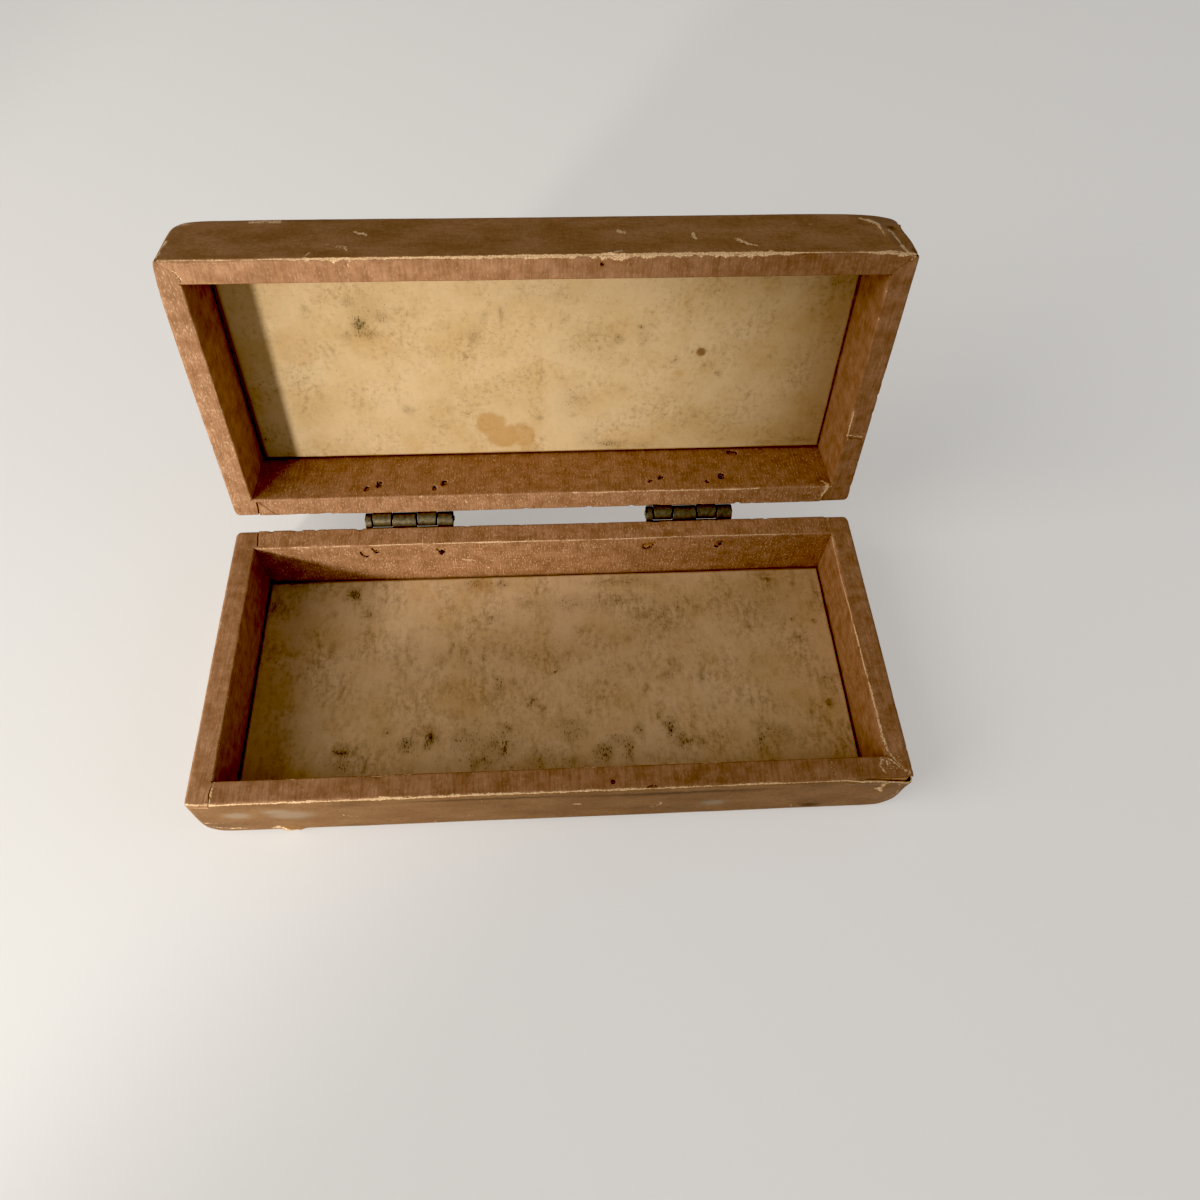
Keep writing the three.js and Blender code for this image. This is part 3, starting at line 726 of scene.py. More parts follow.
# Widths of the torn paper along the rims' front edges: along, width
TORN_EDGES = {
    "base": (
        (-86, 0.4), (-83, 0.4), (-76, 0.2), (-70, 0.42), (-62, 0.5), (-56, 0.16), (-50, 0.34), (-44, 0.6),
        (-38, 0.42), (-30, 0.4), (-23, 0.5), (-18, 0.62), (-14, 0.45), (0, 0.34), (20, 0.4), (36, 0.34),
        (52, 0.42), (60, 0.12), (76, 0.3), (90, 0.25),
    ),
    "lid": (
        (-90, 0.06), (-84, 0.12), (-78, 0.05), (-74, 0.3), (-70, 0.06), (-58, 0.2), (-47, 0.6), (-40, 0.4),
        (-22, 0.45), (-8, 0.7), (6, 0.85), (14, 1.1), (22, 1.0), (36, 0.85), (50, 0.95), (57, 0.8), (62, 0.2),
        (74, 0.1), (79, 0.5), (83, 1.1), (86, 1.4), (90, 1.1),
    ),
}
# Tongues of torn paper that reach further in over the rims: along, reach, width
TORN_TONGUES = {
    "base": ((-43, 0.8, 0.7), (-16.5, 1.1, 0.6), (-25, 0.75, 0.6), (8, 0.7, 0.8), (23.5, 0.8, 0.7)),
    "lid": (
        (-54, 1.2, 0.5), (-48, 1.2, 0.9), (14, 1.4, 0.9), (43, 1.1, 0.6), (49.5, 1.5, 0.6), (54, 1.3, 0.7),
    ),
}


def torn_width(u, name, seed):
    """The width of the torn paper along a rim's front edge."""
    width = np.interp(u, *np.array(TORN_EDGES[name]).T)
    for along, reach, wide in TORN_TONGUES[name]:
        width = np.maximum(width, reach * np.exp(-((u - along) / wide) ** 2))
    ragged = 0.9 + 0.95 * waver(u / 1.2, 0.3, seed, 3) + 0.5 * waver(u / 6, 0.7, seed + 5, 2)
    return width * np.clip(ragged, 0, 2)


def lining_wear(surface, u, v):
    """Pale worn paper, dirt and painted shade, holes and the strength of the flecks on a lining."""
    key, side, seed, tray = surface.key, surface.side, surface.seed, surface.tray
    wobble_u = u + 0.25 * waver(u / 1.1, v / 1.1, seed + 6)
    wobble_v = v + 0.22 * waver(u / 1.7, v / 1.7, seed + 7, 2)
    breaks = 0.75 + 0.5 * waver(u / 2.2, v / 2.2, seed + 8, 2)
    pale = strokes(wobble_u, wobble_v, LINING_CRACKS.get(key, ())) * breaks
    rubbed = np.exp(-((v - tray.wall) / 0.5) ** 2) * ramp(waver(u / 4, 0.2, seed + 9, 3), 0.05, 0.7) * 0.5
    pale = np.maximum(pale, rubbed)
    if side == "front":
        past_tear = v - FRONT_EDGE - torn_width(u, tray.name, seed + 3)
        pale = np.maximum(pale, 0.6 * (1 - ramp(past_tear, -0.1, 0.12)))
    # Dirt in random patches; the base's front lining is darker all over
    dirt = 0.28 * ramp(waver(u / 9, v / 6, seed + 10, 3), 0.1, 0.7) + (0.22 if key == "base_front" else 0)
    # The left linings grow darker over 32 mm towards the base's back and the lid's front edge
    if side == "left":
        dirt = dirt + 0.22 * ramp(-u if tray.turned else u, 0, 32)
    # Painted shade on the lid's linings: on the right, and growing along the front towards the right; the
    # back only darkens a little, evenly
    elif tray.turned:
        dirt = np.maximum(dirt, {"right": 0.28, "back": 0.08, "front": 0.42 * ramp(u, -30, 85)}[side])
    # Painted shade, with some dirt, deepens down each wall to its foot by the card
    foot = tray.wall + tray.height - FOOT
    dirt = np.maximum(dirt, 0.35 * ramp(v, foot - 4, foot) + 0.5 * ramp(v, foot - 1.2, foot - 0.4))
    # Dark seams, and the painted shade listed with them
    dirt = np.maximum(dirt, strokes(wobble_u, wobble_v, LINING_SEAMS_AND_SHADE.get(key, ())))
    # Nail holes, painted dark for their shade and the nail points
    hole = strokes(wobble_u, wobble_v, LINING_HOLES.get(key, ()), HOLE_SPREAD)
    return wear_of(pale, dirt, hole, np.where(v < tray.wall, *LINING_FLECKS[key]))


def cover_wear(surface, u, v, top):
    """Pale torn paper, smudges, and grime with painted shade on a cover."""
    tray, name, seed = surface.tray, surface.tray.name, surface.seed
    wobble_u = u + 0.3 * waver(u / 1.3, v / 1.3, seed + 6)
    wobble_v = v + 0.3 * waver(u / 1.5, v / 1.5, seed + 7)
    breaks = 0.7 + 0.6 * waver(u / 1.6, v / 1.6, seed + 8, 2)
    pale = SCRATCH_STRENGTH * strokes(wobble_u, wobble_v, COVER_SCRATCHES[name], SCRATCH_SPREAD) * breaks
    around = np.mod(u + surface.round / 2, surface.round) - surface.round / 2
    front = 1 - ramp(np.abs(around), tray.half_x - 3, tray.half_x + 1)
    width = (0.08 + 0.65 * torn_width(around, name, seed + 3)) * front + 0.04
    pale = np.maximum(pale, ramp(v, top - width - 0.15, top - width + 0.05))
    nicks = ramp(waver(u / 2.4, v / 2.4, seed + 9, 3), 0.5, 0.85) * np.exp(-((v - 1.5) / 2.0) ** 2)
    pale = np.maximum(pale, 0.75 * nicks)
    smudge = 0.65 * dabs(u, v, COVER_SMUDGES[name], (0.2, 0.9))
    grime = (0.14 if tray.turned else 0.3) * (0.4 + ramp(waver(u / 13, v / 6, seed + 10, 3), 0.0, 0.7))
    # Painted shade darkens the left of the base's front, fading out round the corner
    if not tray.turned:
        grime = grime + 0.24 * ramp(-around, 10, 50) * (1 - ramp(-around, 90, 125))
    # Grime and painted shade at the listed marks
    grime = np.maximum(grime, dabs(wobble_u, wobble_v, COVER_GRIME_AND_SHADE[name]))
    return wear_of(pale, smudge, grime, 1.0)


def card_wear(tray, u, v):
    """Mould, stains, brown spots and browned edges on a card, with painted shade at its edges and, in the
    lid, towards its side walls.
    """
    seed = 200 + tray.seed
    spread = 0.8 if tray.turned else 1.4
    wobble_u = u + spread * waver(u / 2.2, v / 2.2, seed + 1, 3)
    wobble_v = v + 1.25 * spread * waver(u / 2.2, v / 2.2, seed + 2, 3)
    mould = dabs(wobble_u, wobble_v, CARD_MOULD[tray.name])
    stain = dabs(wobble_u, wobble_v, CARD_STAINS[tray.name], (0.3, 0.55))
    spot = dabs(u, v, CARD_SPOTS[tray.name], (0.32, 0.5))
    edge = np.minimum(CARD_HIGH[0] - np.abs(u), CARD_HIGH[1] - np.abs(v))
    edge = edge + 0.15 * waver(u / 1.6, v / 1.6, seed + 3, 2)
    # Browned cut edges, which also paint the shade where the card meets the walls
    spot = np.maximum(spot, 0.6 * (1 - ramp(edge, 0.1, 0.45)))
    # In the lid, painted shade darkens the card towards its right wall and in a narrow strip along its left
    # wall
    if tray.turned:
        right = 0.1 * ramp(u, 25, 65) + 0.34 * ramp(u, 62, 85)
        left = 0.8 * (1 - ramp(u + CARD_HIGH[0], 0.5, 1.3))
        spot = np.maximum(spot, np.maximum(right, left))
    else:
        # In the base, a broad darker patch in the middle
        spot = np.maximum(spot, 0.17 * dab(u, v, (5, 10), 45, 30))
    return wear_of(mould, stain, spot, 1.0)


# Meshes


def grid_faces(rows, columns):
    """Quads over a grid of points that are numbered row by row."""
    number = np.arange(rows * columns).reshape(rows, columns)
    corners = (number[:-1, :-1], number[1:, :-1], number[1:, 1:], number[:-1, 1:])
    return np.stack([c.ravel() for c in corners], axis=-1)


def new_thing(name, data):
    """An object for a mesh, a light or a camera, in the scene."""
    thing = bpy.data.objects.new(name, data)
    bpy.context.scene.collection.objects.link(thing)
    return thing


def new_object(name, points, faces, material):
    """A mesh object from points in millimetres of the frame."""
    mesh = bpy.data.meshes.new(name)
    mesh.from_pydata(points * MM, [], faces)
    mesh.materials.append(material)
    return new_thing(name, mesh)


def worked_object(name, work, material):
    """A mesh object from bmesh work in metres, which ends here."""
    thing = new_object(name, np.zeros((0, 3)), [], material)
    work.to_mesh(thing.data)
    work.free()
    return thing


def smooth(thing, degrees):
    """Shades a piece smoothly, apart from edges that bend more than an angle."""
    thing.data.shade_smooth()
    thing.data.set_sharp_from_angle(angle=math.radians(degrees))


def settle(thing):
    """Applies an object's modifiers, so that a plain mesh is left at the origin."""
    evaluated = thing.evaluated_get(bpy.context.evaluated_depsgraph_get())
    mesh = bpy.data.meshes.new_from_object(evaluated)
    mesh.name = thing.name
    old = thing.data
    thing.modifiers.clear()
    thing.data = mesh
    bpy.data.meshes.remove(old)


def stand_for(thing, body, slot, *nodes):
    """Lets a piece ride on its body, in the place of the frame's nodes."""
    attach(thing, body)
    if nodes:
        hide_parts(*nodes)


def sheet(name, tray, hand, points, flat, wear, keep, material, thickness):
    """A piece of paper or card from a grid of points on its outer face, with its flat places as UV and its
    wear as an attribute. The hand is 1 where rows to columns turn about the outward direction, or else -1."""
    rows, columns = points.shape[:2]
    faces = grid_faces(rows, columns)
    if keep is not None:
        faces = faces[keep.ravel()]
    if hand * (-1 if tray.turned else 1) < 0:
        faces = faces[:, ::-1]
    used = np.unique(faces)
    renumber = np.full(rows * columns, -1)
    renumber[used] = np.arange(len(used))
    faces = renumber[faces]
    thing = new_object(name, tray.place(points.reshape(-1, 3)[used]), faces.tolist(), material)
    mesh = thing.data
    layer = mesh.uv_layers.new(name="paper")
    layer.data.foreach_set("uv", flat.reshape(-1, 2)[used][faces.ravel()].astype(np.float32).ravel())
    attribute = mesh.attributes.new("wear", "FLOAT_COLOR", "POINT")
    attribute.data.foreach_set("color", wear.reshape(-1, 4)[used].astype(np.float32).ravel())
    work = bmesh.new()
    work.from_mesh(mesh)
    bmesh.ops.remove_doubles(work, verts=work.verts, dist=MERGE)
    work.to_mesh(mesh)
    work.free()
    solid = thing.modifiers.new("thickness", "SOLIDIFY")
    solid.thickness = thickness * MM
    solid.offset = -1
    settle(thing)
    smooth(thing, 50)
    return thing


def lining_rows(surface):
    """Places across a lining: close together over its folds and torn edges, wider on the wall."""
    sizes, wall = surface.tray.sizes, surface.tray.wall
    rim_fold, inner_fold = sizes["rim_fold"], sizes["inner_fold"]
    start = [FRONT_EDGE] if surface.side == "front" else [-rim_fold - SKIRT, -rim_fold - SKIRT / 2]
    # Where each stretch ends, and the spacing in it; on the back walls it is closer where the nails come out
    stretches = (
        (rim_fold, 0.17), (2.2, 0.2), (wall - inner_fold, 0.36), (wall + inner_fold, 0.16),
        (wall + 6.5, 0.24 if surface.side == "back" else 0.4), (wall + surface.tray.height - FOOT, 0.5),
    )
    parts, low = [start], max(start[-1] + 0.15, -rim_fold)
    for high, spacing in stretches:
        parts.append(steps(low, high, spacing)[:-1])
        low = high
    return np.concatenate([*parts, [low]])


def make_lining(tray, side, material):
    """The lining paper of one wall, from over the outer edge of the rim to the foot of the wall."""
    surface = LiningSurface(tray, side)
    v = lining_rows(surface)
    step, rim_fold = tray.sizes["paper_step"], tray.sizes["rim_fold"]
    plain = tray.wall - tray.sizes["inner_fold"]
    keep = None
    if side in ("front", "back"):
        turn = tray.half_y - np.abs(surface.bare(np.zeros(len(v)), v)[:, 1])
        ends = []
        for sign in (-1, 1):
            seam, width = corner_seam(surface.key, sign, tray, v)
            seam = np.where(v < plain, seam + width / 2, turn - SEAM)
            ends.append(sign * (tray.half_x - seam))
        k = np.linspace(0, 1, int(2 * (tray.half_x - tray.wall) / step) + 1)
        u = ends[0][:, None] * (1 - k) + ends[1][:, None] * k
    else:
        half, inside = tray.half_y, tray.half_y - tray.wall
        end = np.concatenate([[half + rim_fold + SKIRT], steps(half + rim_fold, half - rim_fold, 0.17)[:-1],
                              steps(half - rim_fold, inside, 0.34)[:-1]])
        k = np.concatenate([-end, steps(-inside, inside, step), end[::-1]])
        u = np.broadcast_to(k, (len(v), len(k)))
        low, high = v[:-1, None], v[1:, None]
        sign, scale = -1 if side == "left" else 1, np.ones(len(k))
        for end, neighbour in ((-1, "front"), (1, "back")):
            seam, width = corner_seam(f"{tray.name}_{neighbour}", sign, tray, half - end * k)
            scale = np.where(end * k > half - plain + 0.01, (seam - width / 2) / plain, scale)
        middle = np.abs(k[:-1] + k[1:])[None, :] / 2
        corner = (high <= -rim_fold + 1e-6) & (middle > half + rim_fold)
        corner = corner | ((middle > half - 0.5) & (scale[:-1] < 0.2))
        keep = ~corner & ~((low > plain - 1e-6) & (middle > inside))
    v = np.broadcast_to(v[:, None], u.shape)
    if side in ("left", "right"):
        v = np.where((v > 0) & (v < plain + 0.01), v * scale, v)
    ragged = 0.1 * waver(u / 0.9, 0.4, surface.seed + 12, 2) + 0.08 * waver(u / 4, 0.6, surface.seed + 13)
    outer = 1 - ramp(v, v.min(), v.min() + 0.8)
    across = v + ragged * outer
    if surface.key == "base_front":
        across = across + np.interp(u, *np.array(DRAWN_BACK).T) * (1 - ramp(v, v.min(), v.min() + 4))
    wear = lining_wear(surface, u, across)
    sunk = 0.75 * ramp(wear[..., 2], 0.3, 0.75) + 0.06 * ramp(wear[..., 0], 0.4, 0.8)
    points = surface.at(u, across, -sunk)
    # The paper's grain runs from front to back on every wall
    along = u + 7 * surface.seed
    flat = np.stack([along, across] if side in ("front", "back") else [across, along], axis=-1)
    name = f"{tray.name}_{side}_lining_paper"
    return sheet(name, tray, -surface.hand, points, flat, wear, keep, material, tray.sizes["paper"])


# Where a cover's two ends meet, from the middle of the back, and how far one laps over the other
COVER_JOINT = 66
COVER_LAP = 5.0
# Wider spacing of a cover's points on the sides and the back
WIDE_STEP = 0.8


def make_cover(tray, material):
    """The covering paper round a tray, lapped over itself beside the left hinge."""
    surface = CoverSurface(tray)
    sizes, step = tray.sizes, tray.sizes["paper_step"]
    seam = surface.round / 2 + COVER_JOINT
    ends = seam - surface.round
    corner = tray.half_x - sizes["corner_radius"]
    turn = corner + 6
    u = np.concatenate([steps(ends - COVER_LAP, -turn, WIDE_STEP)[:-1], steps(-turn, turn, step)[:-1],
                        steps(turn, seam, WIDE_STEP)])
    seams = [corner_seam(f"{tray.name}_front", sign, tray, np.zeros(1))[0][0] for sign in (-1, 1)]
    reach = tray.half_x - np.where(u < 0, *seams)
    front = 1 - ramp(np.abs(u), reach - 0.1, reach + 0.4)
    low_top = tray.height - sizes["rim_fold"] - SKIRT - 0.12
    top = low_top + (tray.height - 0.14 - low_top) * front
    top = top + 0.09 * waver(u / 0.9, 0.1, surface.seed + 12, 2) + 0.1 * waver(u / 5, 0.8, surface.seed + 13)
    if not tray.turned:
        lip = np.interp(u, *np.array(PEEL).T) + 0.2 * waver(u / 1.4, 0.3, surface.seed + 15, 2)
        top = np.minimum(top, lip)
    foot = 1.1 + 0.2 * waver(u / 7, 0.3, surface.seed + 14, 2)
    k = np.concatenate([steps(0, 0.8, 0.045)[:-1], steps(0.8, 1, 0.012)])[:, None]
    v = foot + (top - foot) * k
    u = np.broadcast_to(u, v.shape)
    wear = cover_wear(surface, u, v, top)
    sunk = 0.05 * ramp(wear[..., 0], 0.35, 0.75) + 0.1 * ramp(v, top - 0.7, top - 0.1)
    lapped = 0.32 * (1 - ramp(u, ends - 0.2, ends + 1.2))
    points = surface.at(u, v, lapped - sunk)
    flat = np.stack([u, v], axis=-1)
    name = f"{tray.name}_cover_paper"
    return sheet(name, tray, -surface.hand, points, flat, wear, None, material, sizes["paper"])


def make_panel(tray, material):
    """The covering paper on the base's underside or the lid's top."""
    surface = PanelSurface(tray)
    edge = tray.sizes["edge_radius"]
    reach = 0.7 * edge

    def places(half):
        end = steps(half + reach, half - edge, 0.35)[:-1]
        return np.concatenate([-end, steps(-half + edge, half - edge, 1.1), end[::-1]])

    u, v = np.meshgrid(places(tray.half_x), places(tray.half_y), indexing="ij")
    nicks = ramp(waver(u / 3, v / 3, surface.seed + 9, 3), 0.45, 0.85)
    near = np.minimum(tray.half_x - np.abs(u), tray.half_y - np.abs(v))
    pale = 0.8 * nicks * np.exp(-((near - 0.6) / 1.5) ** 2)
    scuff = 0.5 * ramp(waver(u / 2, v / 11, surface.seed + 4, 3), 0.55, 0.9)
    smudge = 0.5 * ramp(waver(u / 12, v / 10, surface.seed + 5, 3), 0.35, 0.8)
    grime = 0.45 * ramp(waver(u / 15, v / 12, surface.seed + 6, 3), 0.0, 0.7)
    wear = wear_of(np.maximum(pale, scuff), smudge, grime, 1.0)
    points = surface.at(u, v)
    # The pattern goes on far from where the side paper's lies
    flat = np.stack([u + 300, v], axis=-1)
    name = f"{tray.name}_{tray.face}_cover_paper"
    return sheet(name, tray, surface.hand, points, flat, wear, None, material, tray.sizes["paper"])


def make_card(tray, material):
    """A liner card with slightly uneven cut edges."""
    surface = CardSurface(tray)
    step = tray.sizes["card_step"]
    lengths = [steps(CARD_LOW[i], CARD_HIGH[i], step) for i in (0, 1)]
    u, v = np.meshgrid(*lengths, indexing="ij")
    wear = card_wear(tray, u, -v if tray.turned else v)
    cut_u = 0.14 * waver(v / 9, 0.4, surface.seed + 2, 3) * np.abs(u / CARD_HIGH[0]) ** 8
    cut_v = 0.16 * waver(u / 11, 0.7, surface.seed + 3, 3) * np.abs(v / CARD_HIGH[1]) ** 8
    points = surface.at(u + cut_u, v + cut_v)
    flat = np.stack([u, v], axis=-1)
    name = f"{tray.name}_liner_card"
    return sheet(name, tray, surface.hand, points, flat, wear, None, material, tray.sizes["card"])


# How far the wood's cut corners lie under the worn paper
WOOD_INSET = 1.1


def make_wood(tray, name, material):
    """A wall or board like the frame's, with the tray's worn corners cut off."""
    work = bmesh.new()
    work.from_mesh(frame["nodes"][name].data)
    bmesh.ops.remove_doubles(work, verts=work.verts, dist=MERGE)
    for right, back, reach in WORN_CORNERS[tray.name]:
        turn = np.array((right, back, -1)) / reach
        up = reach[2] * (1 + WOOD_INSET * np.linalg.norm(turn))
        spot = np.array((right * tray.half_x, back * tray.half_y, up))
        spot, ahead = tray.place(np.array((spot, spot + turn)))
        everything = work.verts[:] + work.edges[:] + work.faces[:]
        bmesh.ops.bisect_plane(
            work, geom=everything, plane_co=spot * MM, plane_no=ahead - spot, clear_outer=True)
        bmesh.ops.holes_fill(work, edges=[edge for edge in work.edges if edge.is_boundary])
    return worked_object(name + "_wood", work, material)


# Hinges


# The knuckles' sheet bends round from the back of the leaf: where it is fully round, and where it ends
ROOT_END = 100
WRAP_END = -140
# Where the hollow between two knuckles begins on the back of the leaf
HOLLOW_START = 202
# Room round the pin in its knuckles
PIN_PLAY = 0.12
# How far the grime and painted shade between two knuckles reach over each
GROOVE = 0.34


def hinge_outline(radius, leaf, back, cut):
    """The side view of a knuckle and its root on the leaf, as points round the hinge axis."""
    points = [(back, cut)]
    for angle in np.linspace(180, WRAP_END, 41):
        root = max(0.0, (angle - ROOT_END) / (180 - ROOT_END))
        reach = radius + (-back - radius) * root * root
        points.append((reach * math.cos(math.radians(angle)), reach * math.sin(math.radians(angle))))
    points.append((back + leaf, cut + 0.45))
    points.append((back + leaf, cut))
    return points


def add_face(work, corners):
    """Adds a face through points in millimetres."""
    work.faces.new([work.verts.new(Vector(c) * MM) for c in corners])


def make_leaf(name, knuckles, span, mirror, tray, material):
    """A hinge leaf with its own knuckles, bent round the hinge axis; mirrored over for the lid."""
    sizes = tray.sizes
    radius = sizes["barrel"] / 2
    back, low = LEAF_LOW[1] - AXIS[1], LEAF_LOW[2] - AXIS[2]
    cut, front = -radius - sizes["knuckle_gap"], back + sizes["leaf"]
    outline = hinge_outline(radius, sizes["leaf"], back, cut)
    # Between its own knuckles the leaf is hollowed to fit round the other leaf's
    top = -cut * math.sin(math.radians(HOLLOW_START))
    hollow = [(back, top), (back + 0.1, top)]
    for angle in np.radians(np.linspace(HOLLOW_START, 180 + math.degrees(math.acos(-front / -cut)), 7)):
        hollow.append((-cut * math.cos(angle), -cut * math.sin(angle)))
    hole = sizes["pin"] / 2 + PIN_PLAY
    bore = [(hole * math.cos(angle), hole * math.sin(angle)) for angle in np.linspace(0, math.tau, 25)[:-1]]
    work = bmesh.new()
    grooves = [x for low_x, high_x in knuckles for x in (low_x, low_x + GROOVE, high_x - GROOVE, high_x)]
    marks = sorted({*span, *grooves})
    for x0, x1 in zip(marks, marks[1:]):
        add_face(work, [(x0, back, low), (x0, back, cut), (x1, back, cut), (x1, back, low)])
        add_face(work, [(x0, front, low), (x1, front, low), (x1, front, cut), (x0, front, cut)])
        add_face(work, [(x0, back, low), (x1, back, low), (x1, front, low), (x0, front, low)])
        if any(low_x < (x0 + x1) / 2 < high_x for low_x, high_x in knuckles):
            for (y0, z0), (y1, z1) in zip(outline, outline[1:]):
                add_face(work, [(x0, y0, z0), (x0, y1, z1), (x1, y1, z1), (x1, y0, z0)])
        else:
            edge = [(back, cut), *hollow, (front, cut)]
            for (y0, z0), (y1, z1) in zip(edge, edge[1:]):
                add_face(work, [(x0, y0, z0), (x0, y1, z1), (x1, y1, z1), (x1, y0, z0)])
            for x in (x0, x1):
                add_face(work, [(x, y, z) for y, z in edge])
    for x in span:
        add_face(work, [(x, back, low), (x, front, low), (x, front, cut), (x, back, cut)])
    for x0, x1 in knuckles:
        for (y0, z0), (y1, z1) in zip(bore, bore[1:] + bore[:1]):
            add_face(work, [(x0, y0, z0), (x1, y0, z0), (x1, y1, z1), (x0, y1, z1)])
        for x in (x0, x1):
            rings = []
            for loop in (outline, bore):
                verts = [work.verts.new(Vector((x, y, z)) * MM) for y, z in loop]
                rings += [work.edges.new((a, b)) for a, b in zip(verts, verts[1:] + verts[:1])]
            bmesh.ops.triangle_fill(work, edges=rings, use_beauty=True)
    bmesh.ops.remove_doubles(work, verts=work.verts, dist=MERGE)
    bmesh.ops.recalc_face_normals(work, faces=work.faces)
    thing = worked_object(name, work, material)
    x, y, z = mesh_points(thing.data).T
    if mirror:
        y, z = turned(-y, z)
        thing.data.flip_normals()
    points = np.stack([x, y + AXIS[1], z + AXIS[2]], axis=-1) * MM
    thing.data.vertices.foreach_set("co", points.ravel())
    bevel = thing.modifiers.new("worn edges", "BEVEL")
    bevel.width = sizes["worn_edge"] * MM
    bevel.segments = 2
    bevel.limit_method = "ANGLE"
    bevel.angle_limit = math.radians(40)
    settle(thing)
    # Old grime and painted shade sit in the grooves between the knuckles
    x, y, z = mesh_points(thing.data).T
    gap = np.abs(x[:, None] - np.array(knuckles).ravel()).min(axis=1)
    grime = (1 - ramp(gap, GROOVE / 3, 0.9 * GROOVE)) * (np.hypot(y - AXIS[1], z - AXIS[2]) < radius + 0.03)
    thing.data.attributes.new("grime", "FLOAT", "POINT").data.foreach_set("value", grime)
    smooth(thing, 38)
    return thing


def make_pin(name, low, high, material):
    """A hinge pin with rounded ends."""
    radius, bulge, rounding = (high[2] - low[2]) / 2, 0.3, 0.35
    ends = np.radians(np.linspace(90, 0, 6))
    turn = [(bulge * (1 - math.sin(angle)), radius - rounding + rounding * math.cos(angle)) for angle in ends]
    profile = [(low[0] + x, r) for x, r in turn] + [(high[0] - x, r) for x, r in turn[::-1]]
    profile = [(profile[0][0], 0.0)] + profile + [(profile[-1][0], 0.0)]
    work = bmesh.new()
    verts = [work.verts.new(Vector((x, AXIS[1], AXIS[2] + r)) * MM) for x, r in profile]
    edges = [work.edges.new(pair) for pair in zip(verts, verts[1:])]
    centre = Vector((0, AXIS[1], AXIS[2])) * MM
    bmesh.ops.spin(work, geom=verts + edges, cent=centre, axis=(1, 0, 0), angle=math.tau, steps=32)
    bmesh.ops.remove_doubles(work, verts=work.verts, dist=MERGE)
    bmesh.ops.recalc_face_normals(work, faces=work.faces)
    thing = worked_object(name, work, material)
    smooth(thing, 40)
    return thing


# Materials


# Numbered inputs: Math takes its numbers in order. Map Range takes a value, the two ends of its range and the
# two ends it goes to, 0 and 1 where they aren't given. Mix takes its factor as 0 and its colours as 6 and 7
COLOUR_MIX = {"out": 2, "data_type": "RGBA"}
FLAT = {"noise_dimensions": "2D"}


def add(tree, kind, inputs=None, out=0, **settings):
    """Adds a node with settings, sets or links its inputs by name or number, and gives one or all outputs."""
    node = tree.nodes.new(kind if "Node" in kind else "ShaderNode" + kind)
    for key, value in settings.items():
        setattr(node, key, value)
    for key, value in (inputs or {}).items():
        socket = node.inputs[key]
        if isinstance(value, bpy.types.NodeSocket):
            tree.links.new(value, socket)
        else:
            socket.default_value = (*value, 1.0) if socket.type == "RGBA" else value
    return node.outputs if out is None else node.outputs[out]


def start_material(name, roughness, specular=0.5, metallic=0.0):
    """A new material with one shader, whose even values are set on its own sockets."""
    material = bpy.data.materials.new(name)
    material.use_nodes = True
    tree = material.node_tree
    shader = tree.nodes["Principled BSDF"]
    shader.inputs["Roughness"].default_value = roughness
    shader.inputs["Specular IOR Level"].default_value = specular
    shader.inputs["Metallic"].default_value = metallic
    return material, tree, shader


def read_paper(tree):
    """A paper's flat places in millimetres, the three colour channels of its wear, and the fourth."""
    uv = add(tree, "UVMap", uv_map="paper")
    wear = add(tree, "Attribute", out=None, attribute_name="wear")
    worn = add(tree, "SeparateColor", {0: wear["Color"]}, out=None)
    return uv, worn, wear["Alpha"]


def show_core(tree, colours, uv, pale, body, clump, rag_depth, edge):
    """Lays the pale core over a torn paper, with an edge that is ragged in clumps of a size in millimetres.
    The edge says where the core begins, where it is full and how much it then covers. Also gives how much
    the core covers, and the ragged noise."""
    rag = add(tree, "TexNoise", {"Vector": uv, "Scale": 1 / clump, "Detail": 3.0}, **FLAT)
    rag = add(tree, "MapRange", {0: rag, 1: 0.25, 2: 0.75, 3: -rag_depth, 4: rag_depth})
    pale = add(tree, "Math", {0: pale, 1: rag}, operation="ADD")
    pale = add(tree, "MapRange", {0: pale, 1: edge[0], 2: edge[1], 3: 0.0, 4: edge[2]})
    # Torn fibres lie higher and lower, in clumps as wide as the ragged edge's; the deeper ones get painted
    # shade
    deep = add(tree, "MapRange", {0: rag, 1: 0.14, 2: -0.18, 3: 0.05, 4: 0.65})
    core = add(tree, "Mix", {0: deep, 6: colours.core, 7: colours.core_dark}, **COLOUR_MIX)
    return add(tree, "Mix", {0: pale, 6: body, 7: core}, **COLOUR_MIX), pale, rag


